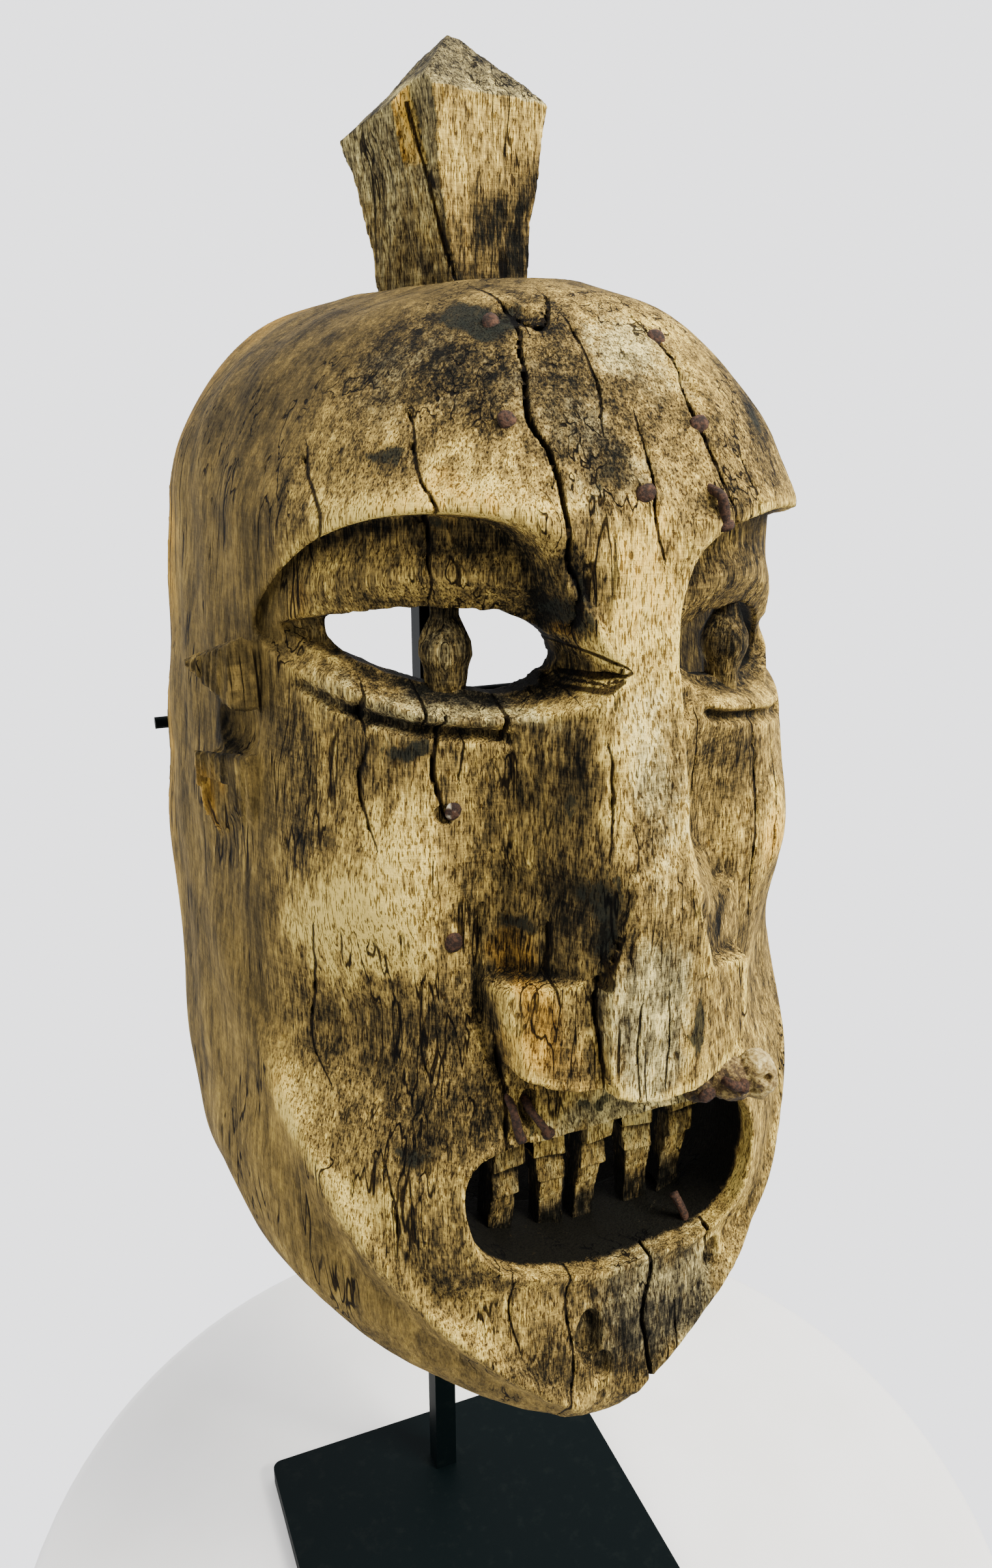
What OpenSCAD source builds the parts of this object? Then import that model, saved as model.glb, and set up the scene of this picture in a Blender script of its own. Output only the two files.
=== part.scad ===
// Carved wooden face mask, hung on a square-bar display stand.
// Origin: centre of the base plate's underside. +Z up, the mask looks along -Y.

/* [Mask] */
// Height of the carved face from chin to crown
mask_h = 333; // [320:1:360]
// Width of the carved face at its widest
mask_w = 199; // [185:1:210]
// Depth from the back edge at the temples to the lips
mask_d = 150; // [140:1:156]
// Height of the chin above the surface that the stand rests on
chin_z = 178; // [150:1:200]
// Wall of the carved face at its sides
side_wall = 12; // [9:0.5:16]
// Wall of the carved face behind the forehead and eyes
front_wall = 17; // [14:0.5:22]
// Squareness of the face in plan: 2 is an ellipse
squareness = 2.4; // [2:0.1:3]

/* [Features] */
// Distance between the pupils
pupil_gap = 78; // [72:1:84]
// Length of one eye slot
eye_l = 49; // [42:1:52]
// Height of one eye slot
eye_h = 20; // [16:1:24]
// Width of the mouth opening
mouth_w = 90; // [80:1:96]
// Height of the mouth opening
mouth_h = 49; // [42:1:52]
// Width of the nose across its wings
nose_w = 64; // [54:1:70]
// Number of teeth in the mouth
teeth = 5; // [3:1:5]
// Height of the crest above the crown
crest_h = 68; // [50:1:75]

/* [Stand] */
// Side of the square base plate
plate_side = 150; // [140:1:180]
// Thickness of the base plate
plate_t = 8; // [6:0.5:12]
// Corner radius of the base plate
plate_r = 4; // [2:0.5:8]
// Side of the square post
post_side = 9.5; // [8:0.5:12]
// Distance from the plate's back edge to the post's centre
post_inset = 27.5; // [20:0.5:35]
// Diameter of the cross bar that steadies the mask's back edge
bar_d = 4; // [3:0.5:5]
// Diameter of the rod that the mask hangs on
hook_d = 5; // [4:0.5:6]

/* [Hidden] */
$fn = 48;

wood = "#9c7f55";
dark_wood = "#6f5638";
hide = "#b39a63";
iron = "#5a4038";
black_steel = "#1c1e20";

gap = 0.4;                                  // clearance between the mask and the stand
weld = 0.3;                                 // how far welded rods bite into the post
post_y = plate_side / 2 - post_inset;       // centre of the post
bar_y = post_y - post_side / 2 - bar_d / 2 + weld; // centre of the cross bar
rim_y = bar_y - bar_d / 2 - gap;            // back edge of the mask at the temples
crown_z = chin_z + mask_h;
ceiling_z = crown_z - 20;                   // top of the hollow
lip_drop = 11;                              // the hollow's back lip hangs this far below its ceiling
lip_t = 15;                                 // thickness of that lip
mouth_x = 2.5;                              // the mouth sits a little to the left
mouth_z = chin_z + 0.268 * mask_h;
eye_z = chin_z + 0.735 * mask_h;
brow_z = chin_z + 0.830 * mask_h;
nose_tip_z = chin_z + 0.399 * mask_h;
ear_z = chin_z + 0.605 * mask_h;

// The face in levels from chin to crown: height, half width, how far the back edge
// is set forward and how far the front reaches, each as a share of its full size.
LEVELS = [
    [0.000, 0.05, 0.86, 0.900], [0.012, 0.17, 0.82, 0.935], [0.032, 0.34, 0.76, 0.960],
    [0.060, 0.52, 0.67, 0.970], [0.095, 0.70, 0.57, 0.970], [0.145, 0.86, 0.45, 0.960],
    [0.190, 0.95, 0.34, 0.953], [0.246, 1.00, 0.23, 0.960], [0.314, 1.00, 0.15, 0.975],
    [0.384, 0.99, 0.09, 0.975], [0.487, 0.98, 0.03, 0.945], [0.592, 0.96, 0.01, 0.940],
    [0.683, 0.93, 0.00, 0.953], [0.754, 0.91, 0.00, 0.970], [0.806, 0.89, 0.00, 1.000],
    [0.836, 0.88, 0.00, 1.005], [0.877, 0.84, 0.00, 0.945], [0.921, 0.74, 0.00, 0.870],
    [0.953, 0.62, 0.00, 0.815], [0.979, 0.48, 0.00, 0.735], [1.000, 0.26, 0.00, 0.600]
];

// A smooth curve through column c of LEVELS, at share t of the height.
function slope(i, c) =
    let (a = LEVELS[max(i - 1, 0)], b = LEVELS[min(i + 1, len(LEVELS) - 1)])
    (b[c] - a[c]) / (b[0] - a[0]);
function span(t, i = 0) = i >= len(LEVELS) - 2 || t < LEVELS[i + 1][0] ? i : span(t, i + 1);
function level(t, c) =
    let (
        i = span(t),
        p = LEVELS[i],
        q = LEVELS[i + 1],
        h = q[0] - p[0],
        u = min(max((t - p[0]) / h, 0), 1)
    )
    (1 + 2 * u) * pow(1 - u, 2) * p[c] + u * pow(1 - u, 2) * h * slope(i, c)
        + u * u * (3 - 2 * u) * q[c] + u * u * (u - 1) * h * slope(i + 1, c);

function share(z) = (z - chin_z) / mask_h;
function half_width(z) = mask_w / 2 * level(share(z), 1);
function back_y(z) = rim_y - mask_d * level(share(z), 2);
function front_y(z) = rim_y - mask_d * level(share(z), 3);

function ramp(lo, hi, v) = let (u = min(max((v - lo) / (hi - lo), 0), 1)) u * u * (3 - 2 * u);
function hump(x, z, x0, z0, rx, rz) = exp(-pow((x - x0) / rx, 2) - pow((z - z0) / rz, 2));

// Carving on the front: how far a point stands proud of the plain form.
function socket(x, z) =
    let (
        u = (x - pupil_gap / 2 - 3) / 32,
        below = brow_z - 14 * pow(u, 4) - z
    )
    12 * ramp(0, 6, below) * (1 - ramp(26, 50, below)) * (1 - ramp(0.8, 1.15, abs(u)));
function relief(x, z) =
    let (a = abs(x))
    6 * hump(a, z, 66, chin_z + 188, 20, 24)
        + 6 * hump(a, z, 46, mouth_z, 22, 38)
        - 8 * hump(a, z, 68, chin_z + 134, 20, 26)
        - 5 * hump(a, z, 70, chin_z + 290, 14, 18)
        - 4 * hump(a, z, 34, chin_z + 185, 12, 34)
        - socket(a, z);

// The carved front at a place on the face.
function face_y(x, z) =
    back_y(z) - relief(x, z)
        - (back_y(z) - front_y(z))
            * pow(1 - pow(abs(x) / half_width(z), squareness), 1 / squareness);

// One level's outline, from the left back edge round the front to the right one.
function outline(z, inset, wall, cols, carved) =
    [for (i = [0:cols])
        let (
            s = 2 * i / cols - 1,
            a = 90 * s,
            x = (half_width(z) - inset) * sign(s) * pow(abs(sin(a)), 2 / squareness),
            d = pow(abs(cos(a)), 2 / squareness),
            fade = carved ? 1 - ramp(0.62, 0.92, abs(s)) : 0
        )
        [x, back_y(z) - (back_y(z) - front_y(z) - wall) * d - fade * relief(x, z), z]];

// A closed solid through a list of outlines with equally many points.
module loft(rings) {
    n = len(rings[0]);
    m = len(rings);
    points = [for (r = rings) for (p = r) p];
    faces = concat(
        [[for (i = [0:n - 1]) i]],
        [[for (i = [0:n - 1]) m * n - 1 - i]],
        [for (j = [0:m - 2]) for (i = [0:n - 1]) let (k = (i + 1) % n)
            [j * n + i, (j + 1) * n + k, j * n + k]],
        [for (j = [0:m - 2]) for (i = [0:n - 1]) let (k = (i + 1) % n)
            [j * n + i, (j + 1) * n + i, (j + 1) * n + k]]
    );
    polyhedron(points, faces, convexity = 8);
}

// Heights of the outer levels: each span of LEVELS in three.
steps = 3;
HEIGHTS = concat(
    [for (i = [0:len(LEVELS) - 2]) for (k = [0:steps - 1])
        chin_z + mask_h * (LEVELS[i][0] + (LEVELS[i + 1][0] - LEVELS[i][0]) * k / steps)],
    [crown_z]
);

module outer_form() {
    loft([for (z = HEIGHTS) outline(z, 0, 0, 44, true)]);
}

// Wall behind the front: thicker round the mouth and the chin.
function wall(z) = front_wall + 17 * (1 - ramp(mouth_z + 30, mouth_z + 90, z));

// The chin is left solid: the hollow's floor climbs from the mouth to the back edge.
floor_rise = 0.28;
function floor_z(y) = mouth_z - 5 + floor_rise * (y - rim_y + 0.2 * mask_d);

module hollow() {
    low = chin_z + 48;
    n = 22;
    reach = 60;
    difference() {
        loft([for (k = [0:n])
            let (z = low + (ceiling_z - low) * k / n, r = outline(z, side_wall + 3, wall(z), 28, false))
            concat(
                [[r[0][0], rim_y + reach, z]],
                r,
                [[r[28][0], rim_y + reach, z]]
            )]);
        translate([-mask_w, rim_y - lip_t, ceiling_z - lip_drop])
            cube([2 * mask_w, 2 * reach, lip_drop + 1]);
        translate([-mask_w, 0, 0])
            rotate([90, 0, 90])
                linear_extrude(2 * mask_w)
                    polygon([
                        [-mask_d, chin_z], [2 * reach, chin_z],
                        [2 * reach, floor_z(2 * reach)], [-mask_d, floor_z(-mask_d)]
                    ]);
    }
}

// A trapezium slice of the nose: half width and y of its front, then of its root.
module nose_slice(z, front_w, front, root_w, root) {
    translate([0, 0, z])
        linear_extrude(0.2)
            polygon([[-front_w, front], [front_w, front], [root_w, root], [-root_w, root]]);
}

module nose() {
    lip_y = front_y(nose_tip_z);
    tip = lip_y - 17;
    wing = nose_w / 2;
    hull() {
        nose_slice(brow_z - 6, 10, lip_y - 4, 15, lip_y + 12);
        nose_slice(eye_z - 18, 10, tip + 5, 18, lip_y + 12);
    }
    hull() {
        nose_slice(eye_z - 18, 10, tip + 5, 18, lip_y + 12);
        nose_slice(nose_tip_z + 52, 7, tip - 4, 25, lip_y + 10);
    }
    hull() {
        nose_slice(nose_tip_z + 52, 7, tip - 4, 25, lip_y + 10);
        nose_slice(nose_tip_z - 3, 13, tip, 18, lip_y + 6);
    }
    hull() {
        nose_slice(nose_tip_z + 44, 12, tip + 4, 26, lip_y + 8);
        nose_slice(nose_tip_z + 8, wing - 3, tip + 5, wing, lip_y + 6);
        nose_slice(nose_tip_z + 1, 14, tip + 5, wing - 8, lip_y + 6);
    }
}

// The left eye sits a little lower and further out than the right.
function eye_x(side) = side < 0 ? -pupil_gap / 2 : pupil_gap / 2 + 3;
function eye_height(side) = side < 0 ? eye_z : eye_z - 4;

// The almond eye slot of one side, cut right through.
module eye_slot(side) {
    translate([eye_x(side), 0, eye_height(side)])
        rotate([90, side * -6, 0])
            linear_extrude(height = 120)
                intersection_for(s = [-1, 1])
                    translate([0, s * (pow(eye_l, 2) / (4 * eye_h) - eye_h / 4)])
                        circle(r = pow(eye_l, 2) / (4 * eye_h) + eye_h / 4, $fn = 40);
}

module mouth_slot() {
    r = mouth_h / 2;
    hull() for (s = [-1, 1])
        translate([mouth_x + s * (mouth_w / 2 - r), 0, mouth_z])
            rotate([90, 0, 0]) cylinder(r = r, h = 160, $fn = 32);
}

// How far the side of the face stands out at a place on it.
function side_x(y, z) =
    half_width(z)
        * pow(1 - pow((back_y(z) - y) / (back_y(z) - front_y(z)), squareness), 1 / squareness);

// One broken stub of an ear: its foot in the wood, its worn face standing out.
module ear_stub(y1, y2, z1, z2, proud) {
    hull() {
        for (y = [y1, y2], z = [z1, z2]) translate([side_x(y, z) - 5, y, z]) cube(1, center = true);
        for (y = [y1 + 5, y2 - 5], z = [z1 + 3, z2 - 3])
            translate([side_x(y, z) + proud, y, z]) cube(1, center = true);
    }
}

// Broken ear: two stubs with a hollow between them. The left one is worn nearly flush.
module ear(side) {
    proud = side < 0 ? 4 : 0.5;
    scale([side, 1, 1]) {
        ear_stub(-48, -4, ear_z + 12, ear_z + 35, proud);
        ear_stub(-48, -10, ear_z - 30, ear_z - 6, proud);
    }
}

module mask_shell() {
    color(wood) difference() {
        union() {
            outer_form();
            nose();
            ear(-1);
            ear(1);
        }
        hollow();
        for (s = [-1, 1]) eye_slot(s);
        mouth_slot();
        crest_tenon(gap / 4);
    }
}

// Crest: corners at its foot, waist and eave, from the front arris round to the left.
// It stands a little askew, and its eave drops towards the back.
crest_foot = [[-10, -11, -1], [13, -9, -1], [3, 19, -1], [-25, 15, -1]];
crest_eave = [[-20, -14, 52], [21, -7, 50], [11, 33, 43], [-33, 24, 41]];
crest_ridge = [[-8, 2, 68], [0, 6, 68], [-4, 14, 67]];
crest_tenon_d = 16;
crest_tenon_l = 12;

module crest_tenon(extra = 0) {
    translate([-4, 4, crown_z - 2 - crest_tenon_l])
        cylinder(d = crest_tenon_d + 2 * extra, h = crest_tenon_l + 3);
}

module corners(points) {
    for (p = points) translate([p[0], p[1], crown_z + p[2] * crest_h / 68]) cube(0.2);
}

module crest() {
    waist = [for (i = [0:3]) 0.62 * crest_foot[i] + 0.38 * crest_eave[i] + [0, 0, 5]];
    color(dark_wood) {
        hull() {
            corners(crest_foot);
            corners(waist);
        }
        hull() {
            corners(waist);
            corners(crest_eave);
        }
        hull() {
            corners(crest_eave);
            corners(crest_ridge);
        }
        crest_tenon();
    }
}

// Bead that stands upright in an eye slot, its ends let into both lids.
module pupil(side) {
    x = eye_x(side);
    z = eye_height(side);
    r = 6.8;
    reach = eye_h / 2 + 5;
    color(dark_wood)
        translate([x, face_y(x, z) + 7, z])
            rotate_extrude()
                polygon([
                    [0, -reach], [5, -reach], [5.2, -6], [r, -1], [r, 2], [5, 6], [3.2, 9],
                    [3.2, reach], [0, reach]
                ]);
}

// Upright slat: the upper half stands proud and ends in a sharp step.
tooth_pitch = 14.6;
tooth_w = 9;
tooth_d = 11;
tooth_set_back = 19;

module tooth(k) {
    x = mouth_x + 2 + (k - (teeth + 1) / 2) * tooth_pitch;
    top = mouth_z + mouth_h / 2 + 2;
    low = mouth_z - mouth_h / 2 - 2;
    step = 2.5;
    color(dark_wood)
        translate([x - tooth_w / 2, front_y(mouth_z) + tooth_set_back, 0])
            rotate([90, 0, 90])
                linear_extrude(tooth_w)
                    polygon([
                        [0, top], [0, mouth_z + 3], [step, mouth_z + 1], [step + 1, mouth_z - 4],
                        [1, mouth_z - 9], [2, low], [tooth_d, low], [tooth_d, top]
                    ]);
}

// Hand-made nail: a worn round head on a square-cut shank driven into the wood.
nail_head_d = 5;
nail_head_t = 1.4;
nail_shank_d = 2.4;
nail_l = 13;

module nail(x, z, tilt = 0, head = nail_head_d) {
    translate([x, face_y(x, z), z])
        rotate([90 - tilt, 0, 0]) {
            translate([0, 0, -nail_l]) cylinder(d = nail_shank_d, h = nail_l + 0.5);
            translate([0, 0, -0.4]) cylinder(d1 = head, d2 = head * 0.7, h = nail_head_t);
        }
}

// Nail that was struck sideways: the shank stands out and lies over.
module bent_nail(x, z, lean) {
    translate([x, face_y(x, z), z]) {
        rotate([90, 0, 0]) translate([0, 0, -nail_l]) cylinder(d = nail_shank_d, h = nail_l + 3.5);
        translate([0, -2.5, 0]) rotate([0, lean, 0]) {
            cylinder(d = nail_shank_d * 0.9, h = 9);
            translate([0, 0, 8.5]) cylinder(d = nail_head_d * 0.8, h = 1.2);
        }
    }
}

module forehead_nails() {
    color(iron) for (p = [[-24, 499, 52], [-29, 477, 34], [17, 497, 50], [19, 476, 34], [-1, 462, 12]])
        nail(p[0], p[1] - 178 + chin_z, p[2]);
}

module brow_nail() {
    color(iron) bent_nail(17, chin_z + 288, 160);
}

module cheek_nails() {
    color(iron) for (p = [[-42, 384], [-42, 347]]) nail(p[0], p[1] - 178 + chin_z);
}

module lip_nails() {
    color(iron) {
        bent_nail(-29, chin_z + 126, 165);
        bent_nail(-21, chin_z + 122, 195);
    }
}

scrap_z = chin_z + 123;

module moustache_scrap() {
    y = face_y(28, scrap_z);
    color(hide) hull() {
        translate([22, y, scrap_z - 1]) sphere(d = 6, $fn = 20);
        translate([32, y - 4, scrap_z]) sphere(d = 10, $fn = 20);
        translate([38, y - 4, scrap_z + 1]) sphere(d = 12, $fn = 20);
    }
}

module moustache_nails() {
    y = face_y(28, scrap_z);
    color(iron) for (p = [[22.5, -3], [28.5, -7]])
        translate([p[0], y + p[1], scrap_z]) rotate([90, 0, 0]) {
            translate([0, 0, -nail_l]) cylinder(d = nail_shank_d, h = nail_l + 1);
            cylinder(d1 = nail_head_d, d2 = nail_head_d * 0.7, h = nail_head_t);
        }
}

// Nail driven up through the lower lip: its worn end stands in the mouth.
module mouth_nail() {
    color(iron)
        translate([29, front_y(mouth_z) + 9, mouth_z - mouth_h / 2 - 8])
            rotate([0, -8, 0]) cylinder(d = nail_shank_d, h = 16.5);
}

module base_plate() {
    inner = plate_side / 2 - plate_r;
    color(black_steel) difference() {
        linear_extrude(plate_t) {
            square([plate_side, 2 * inner], center = true);
            square([2 * inner, plate_side], center = true);
            for (x = [-1, 1], y = [-1, 1]) translate([x * inner, y * inner]) circle(r = plate_r);
        }
        translate([0, post_y, 0]) {
            translate([0, 0, -1]) cylinder(d = screw_d + 0.4, h = plate_t + 2);
            translate([0, 0, -0.01]) cylinder(d1 = screw_head_d, d2 = screw_d, h = screw_head_t);
        }
    }
}

screw_d = 5;
screw_head_d = 10;
screw_head_t = 2.8;
screw_l = 20;
post_top = ceiling_z - lip_drop - 8;

module post() {
    color(black_steel) difference() {
        translate([-post_side / 2, post_y - post_side / 2, plate_t])
            cube([post_side, post_side, post_top - plate_t]);
        translate([0, post_y, plate_t - 1]) cylinder(d = screw_d, h = screw_l - plate_t + 1);
    }
}

module post_screw() {
    color(black_steel) translate([0, post_y, 0]) {
        cylinder(d1 = screw_head_d - 0.2, d2 = screw_d, h = screw_head_t);
        cylinder(d = screw_d, h = screw_l);
    }
}

bar_z = chin_z + 0.6 * mask_h;
bar_l = mask_w - 1;

module cross_bar() {
    color(black_steel) translate([-bar_l / 2, bar_y, bar_z]) rotate([0, 90, 0]) cylinder(d = bar_d, h = bar_l);
}

// Rod that runs forward from the post under the hollow's back lip and turns up behind it.
module top_hook() {
    z = post_top - hook_d / 2 - 2;
    front = post_y - post_side / 2;
    bend = 8;
    tip_y = rim_y - lip_t - 9;
    color(black_steel) {
        translate([0, front + weld, z])
            rotate([90, 0, 0]) cylinder(d = hook_d, h = front + weld - tip_y - bend);
        translate([0, tip_y + bend, z + bend])
            rotate([0, 90, 180])
                rotate_extrude(angle = 90)
                    translate([bend, 0]) circle(d = hook_d);
        translate([0, tip_y, z + bend]) cylinder(d = hook_d, h = ceiling_z - gap - z - bend);
    }
}

mask_shell();
crest();
pupil(-1);  // pupil_right
pupil(1);  // pupil_left
tooth(1);  // tooth_1
tooth(2);  // tooth_2
tooth(3);  // tooth_3
tooth(4);  // tooth_4
tooth(5);  // tooth_5
forehead_nails();
brow_nail();
cheek_nails();
lip_nails();
moustache_scrap();
moustache_nails();
mouth_nail();
base_plate();
post();
post_screw();
cross_bar();
top_hook();
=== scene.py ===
import bpy
import math
from functools import reduce
import numpy as np
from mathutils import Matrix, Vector


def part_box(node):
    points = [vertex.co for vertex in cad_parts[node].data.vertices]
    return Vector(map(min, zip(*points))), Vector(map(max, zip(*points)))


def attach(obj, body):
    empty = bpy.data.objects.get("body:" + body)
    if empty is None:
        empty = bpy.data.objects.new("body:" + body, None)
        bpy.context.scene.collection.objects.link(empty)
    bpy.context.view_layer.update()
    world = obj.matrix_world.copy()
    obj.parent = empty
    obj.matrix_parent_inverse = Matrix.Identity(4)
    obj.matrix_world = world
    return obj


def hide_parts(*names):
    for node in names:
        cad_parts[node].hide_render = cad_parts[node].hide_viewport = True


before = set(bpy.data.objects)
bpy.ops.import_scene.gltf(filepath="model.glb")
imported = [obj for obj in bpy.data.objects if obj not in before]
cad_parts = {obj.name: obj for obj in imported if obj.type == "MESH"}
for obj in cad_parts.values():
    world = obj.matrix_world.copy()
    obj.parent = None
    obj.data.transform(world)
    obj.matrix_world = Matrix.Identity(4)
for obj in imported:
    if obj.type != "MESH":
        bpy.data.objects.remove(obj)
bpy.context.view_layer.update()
MM = 0.001  # the lists and fields below are in mm
FAR_OFF = 40.0  # distances beyond this aren't told apart

# ---- small helpers


def ramp(lo, hi, v):
    """0 before lo, 1 beyond hi and a smooth step between; lo may be the greater."""
    u = np.clip((v - lo) / (hi - lo), 0, 1)
    return u * u * (3 - 2 * u)


def hump(x, z, x0, z0, rx, rz):
    """1 at its centre, dying away over the two radii."""
    return np.exp(-(((x - x0) / rx) ** 2) - ((z - z0) / rz) ** 2)


def rounded(points, closed=True, steps=6):
    """A smooth line through given points."""
    p = np.array(points, float)
    n = len(p)
    out = []
    for i in range(n if closed else n - 1):
        if closed:
            a, b, c, d = p[i - 1], p[i], p[(i + 1) % n], p[(i + 2) % n]
        else:
            a, b, c, d = p[max(i - 1, 0)], p[i], p[i + 1], p[min(i + 2, n - 1)]
        for k in range(steps):
            t = k / steps
            start = 2 * b + (c - a) * t + (2 * a - 5 * b + 4 * c - d) * t * t
            out.append(0.5 * (start + (3 * b - a - 3 * c + d) * t**3))
    if not closed:
        out.append(p[-1])
    return np.array(out)


def line_at(line, z, right=None):
    """The first coordinate of a line of points where its second one is z."""
    order = line[:, 1].argsort()
    return np.interp(z, line[order, 1], line[order, 0], right=right)


def line_distance(x, z, line, closed=False):
    """Distance to a line of points, and how far along it the nearest place is (0 to 1)."""
    best = np.full(x.shape, 1e9)
    along = np.zeros(x.shape)
    pairs = list(zip(line, np.roll(line, -1, 0)))
    if not closed:
        pairs = pairs[:-1]
    total = sum(math.dist(a, b) for a, b in pairs)
    done = 0.0
    for a, b in pairs:
        d = b - a
        length = max(math.hypot(*d), 1e-9)
        t = np.clip(((x - a[0]) * d[0] + (z - a[1]) * d[1]) / length**2, 0, 1)
        r = np.hypot(x - a[0] - t * d[0], z - a[1] - t * d[1])
        nearer = r < best
        best = np.where(nearer, r, best)
        along = np.where(nearer, (done + t * length) / total, along)
        done += length
    return best, along


def outline_distance(x, z, line):
    """Signed distance to a closed outline: negative inside."""
    r, _ = line_distance(x, z, line, closed=True)
    inside = np.zeros(x.shape, bool)
    for a, b in zip(line, np.roll(line, -1, 0)):
        if a[1] == b[1]:
            continue
        reach = (b[0] - a[0]) * (z - a[1]) / (b[1] - a[1]) + a[0]
        inside ^= ((a[1] > z) != (b[1] > z)) & (x < reach)
    return np.where(inside, -r, r)


def patchy(x, z, cell_x, cell_z, seed):
    """Smooth random values from -1 to 1 over a plane."""
    n = 64
    grid = np.random.default_rng(seed).uniform(-1, 1, (n, n))
    u, v = x / cell_x, z / cell_z
    i, j = np.floor(u).astype(int), np.floor(v).astype(int)
    s, t = u - i, v - j
    s, t = s * s * (3 - 2 * s), t * t * (3 - 2 * t)
    near, far = (grid[i % n, k % n] * (1 - s) + grid[(i + 1) % n, k % n] * s for k in (j, j + 1))
    return near * (1 - t) + far * t


# ---- the face's plain form, in mm

# The mask from chin to crown: height, half width, back edge, front
LEVELS = np.array([
    [178, 4, -91, -96], [182, 18, -85, -101], [188.5, 34, -76, -105], [198, 52, -62, -107],
    [209.5, 70, -47, -107], [226, 86, -29, -106], [241, 95, -13, -105], [260, 99.5, 4, -106],
    [282.5, 99.5, 16, -108], [306, 98.5, 25, -108], [340, 97.5, 34, -103.5], [375, 95.5, 37, -102.5],
    [405.5, 92.5, 38.3, -104.5], [429, 90.5, 38.3, -107], [446.5, 88.5, 38.3, -111.5],
    [456.5, 87.5, 38.3, -112.5], [470, 83.5, 38.3, -105.5], [484.5, 75, 38.3, -94],
    [495.5, 64, 38.3, -84], [504, 50, 38.3, -72], [511, 28, 38.3, -52],
])
SQUARE = 2.4  # 2 would make each level an ellipse
CHIN, CROWN = LEVELS[0, 0], LEVELS[-1, 0]
FINE_STEP = 0.25
FINE_Z = np.arange(CHIN - 6, CROWN + 6.01, FINE_STEP)
FINE = []
for column in (1, 2, 3):
    curve = rounded(LEVELS[:, [0, column]], closed=False, steps=12)
    FINE.append(np.interp(FINE_Z, curve[:, 0], curve[:, 1]))
SLOPE = [np.gradient(v, FINE_STEP) for v in FINE]


def level(z):
    """Half width, back edge and front at a height, and how fast each changes there."""
    t = np.clip((z - FINE_Z[0]) / FINE_STEP, 0, len(FINE_Z) - 1.001)
    i = t.astype(np.int32)
    f = t - i
    return [[v[i] * (1 - f) + v[i + 1] * f for v in curves] for curves in (FINE, SLOPE)]


def block_form(x, y, z, inset=0.0, wall=0.0):
    """Distance to the plain form, its back edge, and how squarely it faces forwards."""
    (hw, by, fy), (hws, bys, fys) = level(z)
    hw, fy = np.maximum(hw - inset, 0.5), fy + wall
    deep = np.maximum(by - fy, 0.5)
    a, b = np.abs(x) / hw, (by - y) / deep
    bb = np.maximum(b, 0)
    g = (a**SQUARE + bb**SQUARE + 1e-6) ** (1 / SQUARE)
    ka, kb = (a / g) ** (SQUARE - 1), (bb / g) ** (SQUARE - 1)
    gx, gy = ka / hw, kb / deep
    gz = -ka * a * hws / hw + kb * (bys - b * (bys - fys)) / deep
    size = np.sqrt(gx * gx + gy * gy + gz * gz) + 1e-5
    return np.clip((g - 1) / size, -FAR_OFF, FAR_OFF), by, gy / size


# ---- the carving, seen from the front, in mm

RASTER = 0.5
RX = np.arange(-110, 110.01, RASTER)
RZ = np.arange(165, 525.01, RASTER)
X, Z = np.meshgrid(RX, RZ, indexing="ij")
A = np.abs(X)


def look_up(plane, x, z):
    """The value of a raster at any place on the face."""
    u = np.clip((x - RX[0]) / RASTER, 0, len(RX) - 1.001)
    v = np.clip((z - RZ[0]) / RASTER, 0, len(RZ) - 1.001)
    i, j = u.astype(np.int32), v.astype(np.int32)
    s, t = (u - i).astype(np.float32), (v - j).astype(np.float32)
    return (plane[i, j] * (1 - s) + plane[i + 1, j] * s) * (1 - t) + (
        plane[i, j + 1] * (1 - s) + plane[i + 1, j + 1] * s
    ) * t


def outline(points):
    """Signed distance over the raster to a smooth outline: negative inside."""
    return outline_distance(X, Z, rounded(points))


def stroke(points):
    """Distance over the raster to a smooth line, and how far along it that is."""
    return line_distance(X, Z, rounded(points, closed=False))


# Outlines that go right through
NEAR_EYE_D = outline(
    [(-64, 428), (-58, 431.5), (-48, 433.5), (-39, 433.5), (-30, 433), (-22, 430), (-16, 425),
     (-14, 421), (-17, 416.5), (-24, 413), (-32, 412), (-44, 414), (-55, 417), (-62, 421)]
)
FAR_EYE_D = outline(
    [(16.5, 421.5), (20, 425), (28, 428.5), (38, 429.5), (48, 428), (58, 423), (65, 416),
     (67, 411), (60, 407), (50, 407), (40, 408.5), (30, 411), (22, 415)]
)
MOUTH_D = outline(
    [(-44, 275), (-41, 286), (-32, 291), (-18, 292), (2, 292.5), (20, 293), (33, 291.5),
     (43, 284), (46.5, 271), (43, 254), (33, 245), (18, 242.5), (2, 241.5), (-14, 243.5),
     (-30, 248.5), (-40, 259)]
)

# Eye sockets: the brow's edge from temple to nose, then the cheek's edge back again
near_socket = -outline(
    [(-80, 426), (-77, 436), (-70, 448), (-60, 455), (-48, 457.5), (-34, 456.5), (-23, 450),
     (-15, 440), (-10, 429), (-8.5, 420), (-12, 411), (-24, 407), (-42, 405), (-58, 408),
     (-70, 413), (-78, 419)]
)
far_socket = -outline(
    [(90, 436), (80, 447), (66, 452.5), (48, 455.5), (32, 455), (20, 452), (13, 446.5),
     (9.5, 438), (8, 428), (8.2, 416), (9, 406), (16, 402), (30, 402), (46, 399), (62, 396),
     (78, 398), (90, 410)]
)

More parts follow.
